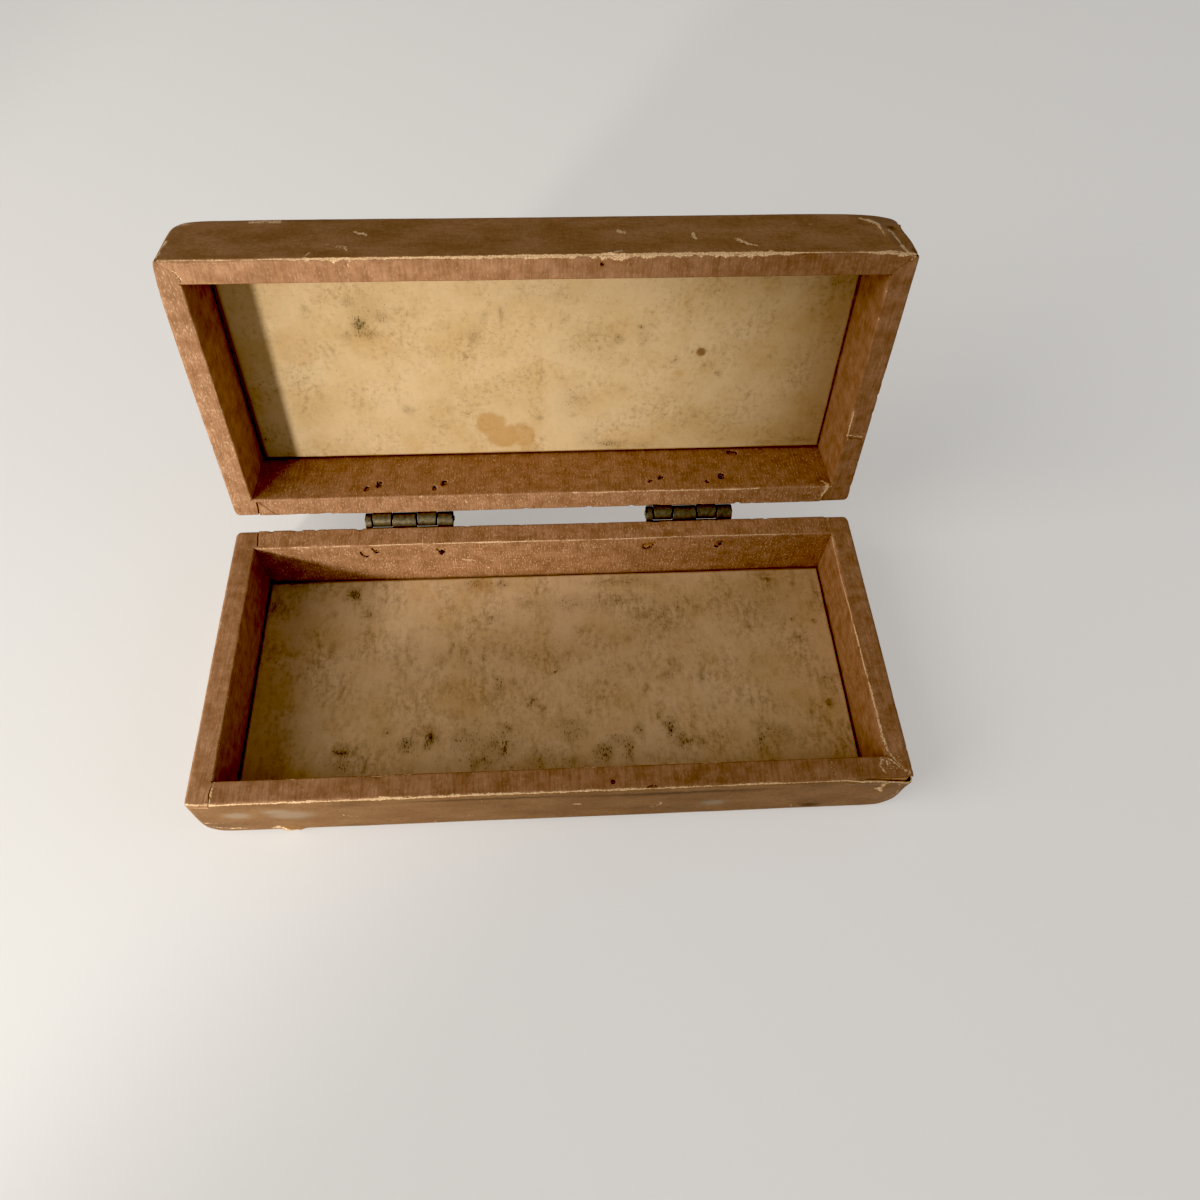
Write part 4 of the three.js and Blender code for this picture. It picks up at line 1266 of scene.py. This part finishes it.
def lining_material(colours):
    """Thin machine-made brown paper: dull, with short pale fibres lying across it."""
    material, tree, shader = start_material("fibre-flecked lining paper", 0.78, 0.28)
    uv, worn, flecked = read_paper(tree)
    # Pale fibres about 0.4 mm wide and 1.1 mm long, gathered in patches of about 4 mm, and faint long ones
    across = add(tree, "Mapping", {"Vector": uv, "Scale": (1 / 0.42, 1 / 1.1, 1)})
    fleck = add(tree, "TexNoise", {"Vector": across, "Scale": 1.0, "Detail": 2.0}, **FLAT)
    fleck = add(tree, "MapRange", {0: fleck, 1: 0.56, 2: 0.7, 3: 0.0, 4: 0.9})
    gather = add(tree, "TexNoise", {"Vector": uv, "Scale": 1 / 4, "Detail": 3.0}, **FLAT)
    gather = add(tree, "MapRange", {0: gather, 1: 0.36, 2: 0.66, 3: 0.3, 4: 1.0})
    gather = add(tree, "Math", {0: gather, 1: flecked}, operation="MULTIPLY")
    fleck = add(tree, "Math", {0: fleck, 1: gather}, operation="MULTIPLY")
    long_way = add(tree, "Mapping", {"Vector": uv, "Scale": (1 / 0.6, 1 / 7, 1)})
    streak = add(tree, "TexNoise", {"Vector": long_way, "Scale": 1.0, "Detail": 2.0}, **FLAT)
    streak = add(tree, "MapRange", {0: streak, 1: 0.34, 2: 0.66, 3: 0.88, 4: 1.12})
    # Cloudy wear in patches of about 5 mm
    patches = add(tree, "Mapping", {"Vector": uv, "Scale": (1 / 5, 1 / 4, 1)})
    cloud = add(tree, "TexNoise", {"Vector": patches, "Scale": 1.0, "Detail": 6.0, "Roughness": 0.66}, **FLAT)
    cloud = add(tree, "MapRange", {0: cloud, 1: 0.34, 2: 0.68})
    body = add(tree, "Mix", {0: cloud, 6: colours.lining_dark, 7: colours.lining}, **COLOUR_MIX)
    body = add(tree, "HueSaturation", {"Value": streak, "Color": body})
    body = add(tree, "Mix", {0: fleck, 6: body, 7: colours.lining_fleck}, **COLOUR_MIX)
    # Dirt and painted shade darken, and worn places show the pale core
    dirt = add(tree, "Math", {0: worn[1], 1: 0.7}, operation="MULTIPLY")
    body = add(tree, "Mix", {0: dirt, 6: body, 7: colours.lining_dirt}, **COLOUR_MIX)
    body, _, rag = show_core(tree, colours, uv, worn[0], body, 0.45, 0.28, (0.34, 0.56, 0.92))
    # Nail holes: painted shade and the dark of the nail points
    hole = add(tree, "Math", {0: worn[2], 1: rag}, operation="ADD")
    hole = add(tree, "MapRange", {0: hole, 1: 0.3, 2: 0.55})
    body = add(tree, "Mix", {0: hole, 6: body, 7: colours.lining_hole}, **COLOUR_MIX)
    tree.links.new(body, shader.inputs["Base Color"])
    height = add(tree, "Math", {0: fleck, 1: cloud}, operation="ADD")
    bump = add(tree, "Bump", {"Strength": 0.25, "Distance": 0.0001, "Height": height})
    tree.links.new(bump, shader.inputs["Normal"])
    return material


def cover_material(colours, name, ground, dark):
    """Smooth olive-brown covering paper, calendered and handled: a faint sheen, fine length-wise grain."""
    material, tree, shader = start_material(name, 0.62, 0.35)
    uv, worn, _ = read_paper(tree)
    patches = add(tree, "Mapping", {"Vector": uv, "Scale": (1 / 14, 1 / 6, 1)})
    cloud = add(tree, "TexNoise", {"Vector": patches, "Scale": 1.0, "Detail": 6.0, "Roughness": 0.6}, **FLAT)
    cloud = add(tree, "MapRange", {0: cloud, 1: 0.36, 2: 0.64})
    # Paper grain about 0.5 mm wide and 3 mm tall
    grain = add(tree, "Mapping", {"Vector": uv, "Scale": (1 / 0.5, 1 / 3.2, 1)})
    grain = add(tree, "TexNoise", {"Vector": grain, "Scale": 1.0, "Detail": 3.0}, **FLAT)
    grain = add(tree, "MapRange", {0: grain, 1: 0.35, 2: 0.65, 3: -0.18, 4: 0.18})
    mixed = add(tree, "Math", {0: cloud, 1: grain}, operation="ADD", use_clamp=True)
    body = add(tree, "Mix", {0: mixed, 6: dark, 7: ground}, **COLOUR_MIX)
    # Mottled dirt in spots of about 1 mm, with detail down to 0.1 mm
    mottle = add(tree, "Mapping", {"Vector": uv, "Scale": (1 / 1.5, 1 / 0.9, 1)})
    mottle = add(tree, "TexNoise", {"Vector": mottle, "Scale": 1.0, "Detail": 6.0, "Roughness": 0.76}, **FLAT)
    mottle = add(tree, "MapRange", {0: mottle, 1: 0.32, 2: 0.68, 3: 0.84, 4: 1.16})
    body = add(tree, "HueSaturation", {"Value": mottle, "Color": body})
    body = add(tree, "Mix", {0: worn[1], 6: body, 7: colours.cover_smudge}, **COLOUR_MIX)
    # Grime and painted shade darken
    grime = add(tree, "Math", {0: worn[2], 1: 0.75}, operation="MULTIPLY")
    body = add(tree, "Mix", {0: grime, 6: body, 7: colours.cover_grime}, **COLOUR_MIX)
    body, pale, _ = show_core(tree, colours, uv, worn[0], body, 0.5, 0.3, (0.36, 0.6, 0.95))
    tree.links.new(body, shader.inputs["Base Color"])
    dull = add(tree, "MapRange", {0: pale, 3: 0.6, 4: 0.9})
    tree.links.new(dull, shader.inputs["Roughness"])
    bump = add(tree, "Bump", {"Strength": 0.2, "Distance": 0.0001, "Height": mixed})
    tree.links.new(bump, shader.inputs["Normal"])
    return material


def card_material(colours, name, ground, shade, dirt):
    """Cream pasteboard, yellowed and foxed: dull, cloudy, with fine streaks and clusters of dark mould."""
    material, tree, shader = start_material(name, 0.82, 0.25)
    uv, worn, _ = read_paper(tree)
    # Brown clouds of about 18 mm with detail down to 0.5 mm
    cloud = add(tree, "TexNoise", {"Vector": uv, "Scale": 1 / 18, "Detail": 7.0, "Roughness": 0.6}, **FLAT)
    cloud = add(tree, "MapRange", {0: cloud, 1: 0.4, 2: 0.68, 3: 0.0, 4: 0.8})
    body = add(tree, "Mix", {0: cloud, 6: ground, 7: shade}, **COLOUR_MIX)
    # Grey-brown dirt with detail from 4 mm down to 0.1 mm, gathered in patches of about 14 mm
    drawn = add(tree, "Mapping", {"Vector": uv, "Location": (31, 17, 0), "Scale": (1 / 2.0, 1 / 4.4, 1)})
    smudge = add(tree, "TexNoise", {"Vector": drawn, "Scale": 1.0, "Detail": 9.0, "Roughness": 0.76}, **FLAT)
    smudge = add(tree, "MapRange", {0: smudge, 1: 0.44, 2: 0.74, 3: 0.0, 4: dirt})
    gather = add(tree, "TexNoise", {"Vector": uv, "Scale": 1 / 14, "Detail": 5.0, "Roughness": 0.6}, **FLAT)
    gather = add(tree, "MapRange", {0: gather, 1: 0.4, 2: 0.66, 3: 0.2, 4: 1.0})
    smudge = add(tree, "Math", {0: smudge, 1: gather}, operation="MULTIPLY")
    near = add(tree, "Math", {0: worn[0], 1: 0.68}, operation="MULTIPLY")
    smudge = add(tree, "Math", {0: smudge, 1: near}, operation="ADD", use_clamp=True)
    body = add(tree, "Mix", {0: smudge, 6: body, 7: colours.smudge}, **COLOUR_MIX)
    # Brown foxing in blots of about 1 mm, in the same patches
    fox = add(tree, "TexNoise", {"Vector": uv, "Scale": 1 / 1.5, "Detail": 6.0, "Roughness": 0.74}, **FLAT)
    fox = add(tree, "MapRange", {0: fox, 1: 0.5, 2: 0.76, 3: 0.0, 4: 0.6})
    fox = add(tree, "Math", {0: fox, 1: gather}, operation="MULTIPLY")
    body = add(tree, "Mix", {0: fox, 6: body, 7: colours.foxing}, **COLOUR_MIX)
    stain = add(tree, "Math", {0: worn[1], 1: 0.62}, operation="MULTIPLY")
    body = add(tree, "Mix", {0: stain, 6: body, 7: colours.stain}, **COLOUR_MIX)
    # Brown spots and browned edges, with the painted shade laid in the same channel
    body = add(tree, "Mix", {0: worn[2], 6: body, 7: colours.spot}, **COLOUR_MIX)
    # Mould specks about 0.5 mm wide and 1 mm long, thick where the card was damp
    speck = add(tree, "Mapping", {"Vector": uv, "Scale": (1 / 0.5, 1 / 0.95, 1)})
    speck = add(tree, "TexNoise", {"Vector": speck, "Scale": 1.0, "Detail": 4.0, "Roughness": 0.65}, **FLAT)
    thick = add(tree, "Math", {0: worn[0], 1: 0.27, 2: -0.07 + 0.04 * dirt}, operation="MULTIPLY_ADD")
    speck = add(tree, "Math", {0: speck, 1: thick}, operation="ADD")
    speck = add(tree, "MapRange", {0: speck, 1: 0.62, 2: 0.76, 3: 0.0, 4: 0.85})
    body = add(tree, "Mix", {0: speck, 6: body, 7: colours.mould}, **COLOUR_MIX)
    tree.links.new(body, shader.inputs["Base Color"])
    fibre = add(tree, "TexNoise", {"Vector": uv, "Scale": 1 / 0.5, "Detail": 3.0}, **FLAT)
    bump = add(tree, "Bump", {"Strength": 0.12, "Distance": 0.0001, "Height": fibre})
    tree.links.new(bump, shader.inputs["Normal"])
    return material


def brass_material(colours):
    """Rolled sheet brass with an old dark skin, rubbed brighter in spots: a dull broken gleam."""
    material, tree, shader = start_material("patinated brass", 0.5, metallic=0.75)
    place = add(tree, "TexCoord", out="Object")
    rub = add(tree, "TexNoise", {"Vector": place, "Scale": 1 / (1.1 * MM), "Detail": 5.0, "Roughness": 0.65})
    rub = add(tree, "MapRange", {0: rub, 1: 0.36, 2: 0.7})
    body = add(tree, "Mix", {0: rub, 6: colours.patina, 7: colours.brass}, **COLOUR_MIX)
    # Grime and painted shade near the gaps between the knuckles
    grime = add(tree, "Attribute", out="Fac", attribute_name="grime")
    body = add(tree, "Mix", {0: grime, 6: body, 7: colours.groove_grime_and_shade}, **COLOUR_MIX)
    tree.links.new(body, shader.inputs["Base Color"])
    dull = add(tree, "MapRange", {0: rub, 3: 0.58, 4: 0.36})
    tree.links.new(dull, shader.inputs["Roughness"])
    pits = add(tree, "TexNoise", {"Vector": place, "Scale": 1 / (0.5 * MM), "Detail": 3.0})
    bump = add(tree, "Bump", {"Strength": 0.25, "Distance": 0.0001, "Height": pits})
    tree.links.new(bump, shader.inputs["Normal"])
    return material


def steel_material(colours):
    """Cut steel nails gone dark, with brown rust in spots."""
    material, tree, shader = start_material("rusty nail steel", 0.6, metallic=0.7)
    place = add(tree, "TexCoord", out="Object")
    spots = add(tree, "TexNoise", {"Vector": place, "Scale": 1 / (0.7 * MM), "Detail": 4.0})
    spots = add(tree, "MapRange", {0: spots, 1: 0.42, 2: 0.62})
    body = add(tree, "Mix", {0: spots, 6: colours.steel, 7: colours.rust}, **COLOUR_MIX)
    tree.links.new(body, shader.inputs["Base Color"])
    dull = add(tree, "MapRange", {0: spots, 3: 0.45, 4: 0.85})
    tree.links.new(dull, shader.inputs["Roughness"])
    return material


def wood_material(colours):
    """Sawn softwood, aged brown: growth lines about 1.5 mm apart along the boards."""
    material, tree, shader = start_material("sawn softwood", 0.8, 0.3)
    place = add(tree, "TexCoord", out="Object")
    along = add(tree, "Mapping", {"Vector": place, "Scale": (1 / (30 * MM), 1 / (1.5 * MM), 1 / (1.5 * MM))})
    grain = add(tree, "TexNoise", {"Vector": along, "Scale": 1.0, "Detail": 3.0})
    grain = add(tree, "MapRange", {0: grain, 1: 0.4, 2: 0.62})
    body = add(tree, "Mix", {0: grain, 6: colours.wood_dark, 7: colours.wood}, **COLOUR_MIX)
    tree.links.new(body, shader.inputs["Base Color"])
    bump = add(tree, "Bump", {"Strength": 0.3, "Distance": 0.0002, "Height": grain})
    tree.links.new(bump, shader.inputs["Normal"])
    return material


def floor_material(colours):
    """Matt white studio board: lit softly by itself, so that only a faint shadow stays on it."""
    material, tree, shader = start_material("studio board", 0.9, 0.1)
    place = add(tree, "TexCoord", out="Object")
    mottle = add(tree, "TexNoise", {"Vector": place, "Scale": 6.0, "Detail": 2.0})
    mottle = add(tree, "MapRange", {0: mottle, 3: 0.0, 4: 0.02})
    body = add(tree, "Mix", {0: mottle, 6: colours.floor, 7: FLOOR_MOTTLE}, **COLOUR_MIX)
    tree.links.new(body, shader.inputs["Base Color"])
    shader.inputs["Emission Color"].default_value = (*FLOOR_GLOW_TINT, 1)
    shader.inputs["Emission Strength"].default_value = FLOOR_GLOW
    return material


# Nails: where each one's point comes out, from the hinge nail's own place, along and up in millimetres
NAIL_SLANTS = {
    "base": {"left_1": (-0.5, 1.8), "left_2": (-0.3, 1.0), "right_1": (-2.0, 1.1), "right_2": (-0.5, 0.4)},
    "lid": {"left_1": (1.0, -0.8), "left_2": (1.3, -0.6), "right_1": (0.9, -0.9), "right_2": (0.2, -0.8)},
}


# Sides of a nail's shank, length of its point in diameters, flatness of its head, and how far the middle of
# the head lies under its top
NAIL_SIDES = 14
NAIL_POINT = 1.6
HEAD_FLAT = 0.34
HEAD_DEPTH = 0.42


def nail_tree(material):
    """Geometry nodes that stand one nail on each point, its shank along the point's aim."""
    tree = bpy.data.node_groups.new("hinge nails", "GeometryNodeTree")
    tree.interface.new_socket("Geometry", in_out="INPUT", socket_type="NodeSocketGeometry")
    for label in ("Shank diameter", "Head diameter", "Reach"):
        tree.interface.new_socket(label, in_out="INPUT", socket_type="NodeSocketFloat")
    tree.interface.new_socket("Geometry", in_out="OUTPUT", socket_type="NodeSocketGeometry")
    given = add(tree, "NodeGroupInput", out=None)
    half = add(tree, "Math", {0: given[1], 1: 0.5}, operation="MULTIPLY")
    point = add(tree, "Math", {0: given[1], 1: NAIL_POINT}, operation="MULTIPLY")
    shank_end = add(tree, "Math", {0: given[3], 1: point}, operation="SUBTRACT")
    middle = add(tree, "Math", {0: shank_end, 1: 0.5}, operation="MULTIPLY")
    shank = add(tree, "GeometryNodeMeshCylinder",
                {"Vertices": NAIL_SIDES, "Radius": half, "Depth": shank_end})
    shank_place = add(tree, "CombineXYZ", {"Z": middle})
    shank = add(tree, "GeometryNodeTransform", {"Geometry": shank, "Translation": shank_place})
    tip = add(tree, "GeometryNodeMeshCone",
              {"Vertices": NAIL_SIDES, "Radius Top": 0.0, "Radius Bottom": half, "Depth": point})
    tip_place = add(tree, "CombineXYZ", {"Z": shank_end})
    tip = add(tree, "GeometryNodeTransform", {"Geometry": tip, "Translation": tip_place})
    head_half = add(tree, "Math", {0: given[2], 1: 0.5}, operation="MULTIPLY")
    head = add(tree, "GeometryNodeMeshUVSphere", {"Segments": 24, "Rings": 12, "Radius": head_half})
    head = add(tree, "GeometryNodeTransform", {"Geometry": head, "Scale": (1.0, 1.0, HEAD_FLAT)})
    joined = add(tree, "GeometryNodeJoinGeometry")
    for part in (shank, tip, head):
        tree.links.new(part, joined.node.inputs[0])
    aim = add(tree, "GeometryNodeInputNamedAttribute", {"Name": "aim"}, data_type="FLOAT_VECTOR")
    turn = add(tree, "FunctionNodeAlignRotationToVector", {"Vector": aim}, axis="Z")
    points = add(tree, "GeometryNodeMeshToPoints", {"Mesh": given[0]})
    nails = add(tree, "GeometryNodeInstanceOnPoints",
                {"Points": points, "Instance": joined, "Rotation": turn})
    real = add(tree, "GeometryNodeRealizeInstances", {"Geometry": nails})
    done = add(tree, "GeometryNodeSetMaterial", {"Geometry": real, "Material": material})
    add(tree, "NodeGroupOutput", {"Geometry": done}, out=None)
    return tree


# Stage, in millimetres of the frame and in pixels of a 1200 by 1200 picture
PICTURE = 1200
SENSOR = 36.0
CAMERA_PLACE = (-2.36, -121.58, 245.59)
CAMERA_AIM = (9.11, 20.48, 40.2)
CAMERA_ROLL = 2.24
FOCAL_PIXELS = 941.67
CENTRE_PIXEL = (582.33, 541.29)
# A low lamp at the front left, aimed past the box so that its beam fades softly towards the right
LAMP_PLACE = (-438, -524, 192)
LAMP_AIM = (-208, -60, 62)
LAMP_WIDE = 72
LAMP_POWER = 16.8
LAMP_TINT = (1.0, 0.96, 0.9)
BEAM_ANGLE = 30.4
BEAM_FADE = 0.45
# Wide soft lights, like a window at the upper left and a pale wall at the right: place, power, tint
SOFT_LIGHTS = {
    "window": ((-950, -350, 800), 5.9, (1.0, 0.98, 0.96)),
    "doorway": ((-1050, -330, 400), 3.6, (1.0, 0.98, 0.96)),
    "room": ((-150, -1050, 600), 0.8, (1.0, 0.97, 0.93)),
    "wall": ((1000, -250, 450), 2.1, (0.85, 0.97, 1.15)),
}
SOFT_WIDE = 800
SKY_LIGHT = 0.2
SKY_TINT = (1.0, 0.99, 0.97)
# The floor lies just under the box and reaches far out; it glows a little
FLOOR_DROP = 0.06
FLOOR_REACH = 4000
FLOOR_GLOW = 0.36
FLOOR_GLOW_TINT = (1, 0.97, 0.93)
FLOOR_MOTTLE = (0.46, 0.45, 0.43)
# Deep shadows lose a little light, as in the photograph
BLACK_LEVEL = 0.036


def boxes(context):
    """The two trays at the current sizes."""
    sizes = context.scene.keepsake_sizes
    return [Tray("base", sizes), Tray("lid", sizes)]


class KeepsakeOperator(bpy.types.Operator):
    """What the box's operators share."""

    bl_options = {"REGISTER", "UNDO"}

    @classmethod
    def poll(cls, context):
        return context.scene is not None


class KEEPSAKE_OT_wood(KeepsakeOperator):
    """Makes the bare walls and boards under the papers"""

    bl_idname = "keepsake.wood"
    bl_label = "Wooden Walls and Boards"

    def execute(self, context):
        wood = wood_material(context.scene.keepsake_colours)
        for tray in boxes(context):
            for name in frame["nodes"]:
                if name.startswith(tray.name) and name.endswith(("_wall", "_board")):
                    stand_for(make_wood(tray, name, wood), tray.name, "wood", name)
        return {"FINISHED"}


class KEEPSAKE_OT_linings(KeepsakeOperator):
    """Lines the rims and walls of both trays with flecked brown paper"""

    bl_idname = "keepsake.linings"
    bl_label = "Lining Papers"

    def execute(self, context):
        paper = lining_material(context.scene.keepsake_colours)
        for tray in boxes(context):
            for side in SIDES:
                piece = make_lining(tray, side, paper)
                stand_for(piece, tray.name, "lining_paper", f"{tray.name}_{side}_lining")
        return {"FINISHED"}


class KEEPSAKE_OT_covers(KeepsakeOperator):
    """Covers the outside of both trays with olive-brown paper"""

    bl_idname = "keepsake.covers"
    bl_label = "Covering Papers"

    def execute(self, context):
        colours = context.scene.keepsake_colours
        for tray in boxes(context):
            ground, dark = getattr(colours, tray.name + "_cover"), getattr(colours, tray.name + "_cover_dark")
            paper = cover_material(colours, f"rubbed covering paper, {tray.name}", ground, dark)
            stand_for(make_cover(tray, paper), tray.name, "cover_paper", f"{tray.name}_side_paper")
            stand_for(make_panel(tray, paper), tray.name, "cover_paper", f"{tray.name}_{tray.face}_paper")
        return {"FINISHED"}


class KEEPSAKE_OT_cards(KeepsakeOperator):
    """Lays the stained cream cards in both trays"""

    bl_idname = "keepsake.cards"
    bl_label = "Liner Cards"

    def execute(self, context):
        colours = context.scene.keepsake_colours
        for tray in boxes(context):
            ground, shade = getattr(colours, tray.name + "_card"), getattr(colours, tray.name + "_card_shade")
            name = f"foxed cream card, {tray.name}"
            card = card_material(colours, name, ground, shade, CARD_DIRT[tray.name])
            stand_for(make_card(tray, card), tray.name, "cream_card", f"{tray.name}_{tray.face}_liner")
        return {"FINISHED"}


# Shares of the barrel's length, from the left
KNUCKLE_LENGTHS = (2.0, 5.7, 7.2, 5.8, 4.7)


class KEEPSAKE_OT_hinges(KeepsakeOperator):
    """Makes the leaves and pins of the two brass hinges"""

    bl_idname = "keepsake.hinges"
    bl_label = "Hinges"

    def execute(self, context):
        brass = brass_material(context.scene.keepsake_colours)
        base = boxes(context)[0]
        gap = base.sizes["knuckle_gap"] / 2
        for hand in ("left", "right"):
            low, high = node_span(f"{hand}_hinge_base_leaf")
            marks = low[0] + (high[0] - low[0]) * np.cumsum((0,) + KNUCKLE_LENGTHS) / sum(KNUCKLE_LENGTHS)
            last = len(KNUCKLE_LENGTHS) - 1
            for body, first in (("base", 0), ("lid", 1)):
                knuckles = []
                for k in range(first, last + 1, 2):
                    knuckles.append((marks[k] + gap * (k > 0), marks[k + 1] - gap * (k < last)))
                name = f"{hand}_hinge_{body}_leaf"
                piece = make_leaf(f"{name}_brass", knuckles, (low[0], high[0]), body == "lid", base, brass)
                stand_for(piece, body, "aged_brass", name)
            piece = make_pin(f"{hand}_hinge_pin_brass", *node_span(f"{hand}_hinge_pin"), brass)
            stand_for(piece, "base", "aged_brass", f"{hand}_hinge_pin")
        return {"FINISHED"}


class KEEPSAKE_OT_nails(KeepsakeOperator):
    """Drives the slanted nails through the hinge leaves"""

    bl_idname = "keepsake.nails"
    bl_label = "Hinge Nails"

    def execute(self, context):
        sizes = context.scene.keepsake_sizes
        steel = steel_material(context.scene.keepsake_colours)
        tree = nail_tree(steel)
        inputs = {item.name: item.identifier for item in tree.interface.items_tree if item.in_out == "INPUT"}
        for body, slants in NAIL_SLANTS.items():
            heads, aims, nodes = [], [], []
            for place, (along, up) in slants.items():
                hand, number = place.split("_")
                node = f"{hand}_hinge_{body}_nail_{number}"
                nodes.append(node)
                if body == "base":
                    low, high = node_span(node)
                    x, _, z = low / 2 + high / 2
                    heads.append((x, high[1] - HEAD_DEPTH, z))
                    aims.append((along, low[1] - high[1], up))
                else:
                    flat = lid_points(node)
                    low, high = flat.min(axis=0), flat.max(axis=0)
                    x, _, z = low / 2 + high / 2
                    heads.append(AXIS + (x, *turned(low[1] + HEAD_DEPTH, z)))
                    aims.append((along, *turned(high[1] - low[1], up)))
            piece = new_object(f"{body}_hinge_nails", np.array(heads), [], steel)
            aim = piece.data.attributes.new("aim", "FLOAT_VECTOR", "POINT")
            aim.data.foreach_set("vector", np.array(aims, np.float32).ravel())
            nails = piece.modifiers.new("nails", "NODES")
            nails.node_group = tree
            nails[inputs["Shank diameter"]] = sizes.nail
            nails[inputs["Head diameter"]] = sizes.nail_head
            nails[inputs["Reach"]] = sizes.nail_reach
            settle(piece)
            smooth(piece, 40)
            stand_for(piece, body, "nail_steel", *nodes)
        return {"FINISHED"}


class KEEPSAKE_OT_stage(KeepsakeOperator):
    """Sets up the pale floor, the lamp, the soft light round about and the camera"""

    bl_idname = "keepsake.stage"
    bl_label = "Stage"

    def execute(self, context):
        scene = context.scene
        scene.view_settings.view_transform = "Standard"
        scene.view_settings.use_curve_mapping = True
        scene.view_settings.curve_mapping.black_level = (BLACK_LEVEL,) * 3
        scene.view_settings.curve_mapping.update()
        sides = ((-1, -1), (1, -1), (1, 1), (-1, 1))
        corners = np.array([(x * FLOOR_REACH, y * FLOOR_REACH, -FLOOR_DROP) for x, y in sides])
        floor = new_object("studio_floor", corners, [(0, 1, 2, 3)], floor_material(scene.keepsake_colours))
        data = bpy.data.cameras.new("camera")
        data.sensor_width = SENSOR
        data.lens = FOCAL_PIXELS / PICTURE * SENSOR
        data.shift_x = (PICTURE / 2 - CENTRE_PIXEL[0]) / PICTURE
        data.shift_y = (CENTRE_PIXEL[1] - PICTURE / 2) / PICTURE
        data.clip_start = 0.01
        camera = new_thing("camera", data)
        camera.location = Vector(CAMERA_PLACE) * MM
        look = (Vector(CAMERA_AIM) - Vector(CAMERA_PLACE)).to_track_quat("-Z", "Y")
        camera.rotation_euler = (look @ Quaternion((0, 0, 1), math.radians(CAMERA_ROLL))).to_euler()
        scene.camera = camera
        lamp = bpy.data.lights.new("lamp", "SPOT")
        lamp.shadow_soft_size = LAMP_WIDE / 2 * MM
        lamp.energy = LAMP_POWER
        lamp.color = LAMP_TINT
        lamp.spot_size = math.radians(BEAM_ANGLE)
        lamp.spot_blend = BEAM_FADE
        bulb = new_thing("lamp", lamp)
        bulb.location = Vector(LAMP_PLACE) * MM
        bulb.rotation_euler = (Vector(LAMP_PLACE) - Vector(LAMP_AIM)).to_track_quat("Z", "Y").to_euler()
        for name, (place, power, tint) in SOFT_LIGHTS.items():
            pane = bpy.data.lights.new(name, "AREA")
            pane.size = SOFT_WIDE * MM
            pane.energy = power
            pane.color = tint
            light = new_thing(name, pane)
            light.location = Vector(place) * MM
            light.rotation_euler = Vector(place).to_track_quat("Z", "Y").to_euler()
        world = bpy.data.worlds.new("soft light")
        world.use_nodes = True
        sky = world.node_tree.nodes["Background"]
        sky.inputs["Color"].default_value = (*SKY_TINT, 1)
        sky.inputs["Strength"].default_value = SKY_LIGHT
        scene.world = world
        return {"FINISHED"}


OPERATORS = (
    KEEPSAKE_OT_wood, KEEPSAKE_OT_linings, KEEPSAKE_OT_covers, KEEPSAKE_OT_cards,
    KEEPSAKE_OT_hinges, KEEPSAKE_OT_nails, KEEPSAKE_OT_stage,
)


class KEEPSAKE_PT_box(bpy.types.Panel):
    """Lists the box's sizes, colours and pieces"""

    bl_idname = "KEEPSAKE_PT_box"
    bl_label = "Keepsake Box"
    bl_space_type = "VIEW_3D"
    bl_region_type = "UI"
    bl_category = "Keepsake Box"

    def draw(self, context):
        for operator in OPERATORS:
            self.layout.operator(operator.bl_idname)
        for group in (context.scene.keepsake_sizes, context.scene.keepsake_colours):
            column = self.layout.column(align=True)
            for key in type(group).__annotations__:
                column.prop(group, key)


CLASSES = (KeepsakeBoxSizes, KeepsakeBoxColours, *OPERATORS, KEEPSAKE_PT_box)


def register():
    for item in CLASSES:
        bpy.utils.register_class(item)
    bpy.types.Scene.keepsake_sizes = bpy.props.PointerProperty(type=KeepsakeBoxSizes)
    bpy.types.Scene.keepsake_colours = bpy.props.PointerProperty(type=KeepsakeBoxColours)


def unregister():
    del bpy.types.Scene.keepsake_colours
    del bpy.types.Scene.keepsake_sizes
    for item in reversed(CLASSES):
        bpy.utils.unregister_class(item)


def main():
    """Makes every piece in order."""
    register()
    bpy.ops.keepsake.wood()
    bpy.ops.keepsake.linings()
    bpy.ops.keepsake.covers()
    bpy.ops.keepsake.cards()
    bpy.ops.keepsake.hinges()
    bpy.ops.keepsake.nails()
    bpy.ops.keepsake.stage()


if __name__ == "__main__":
    main()
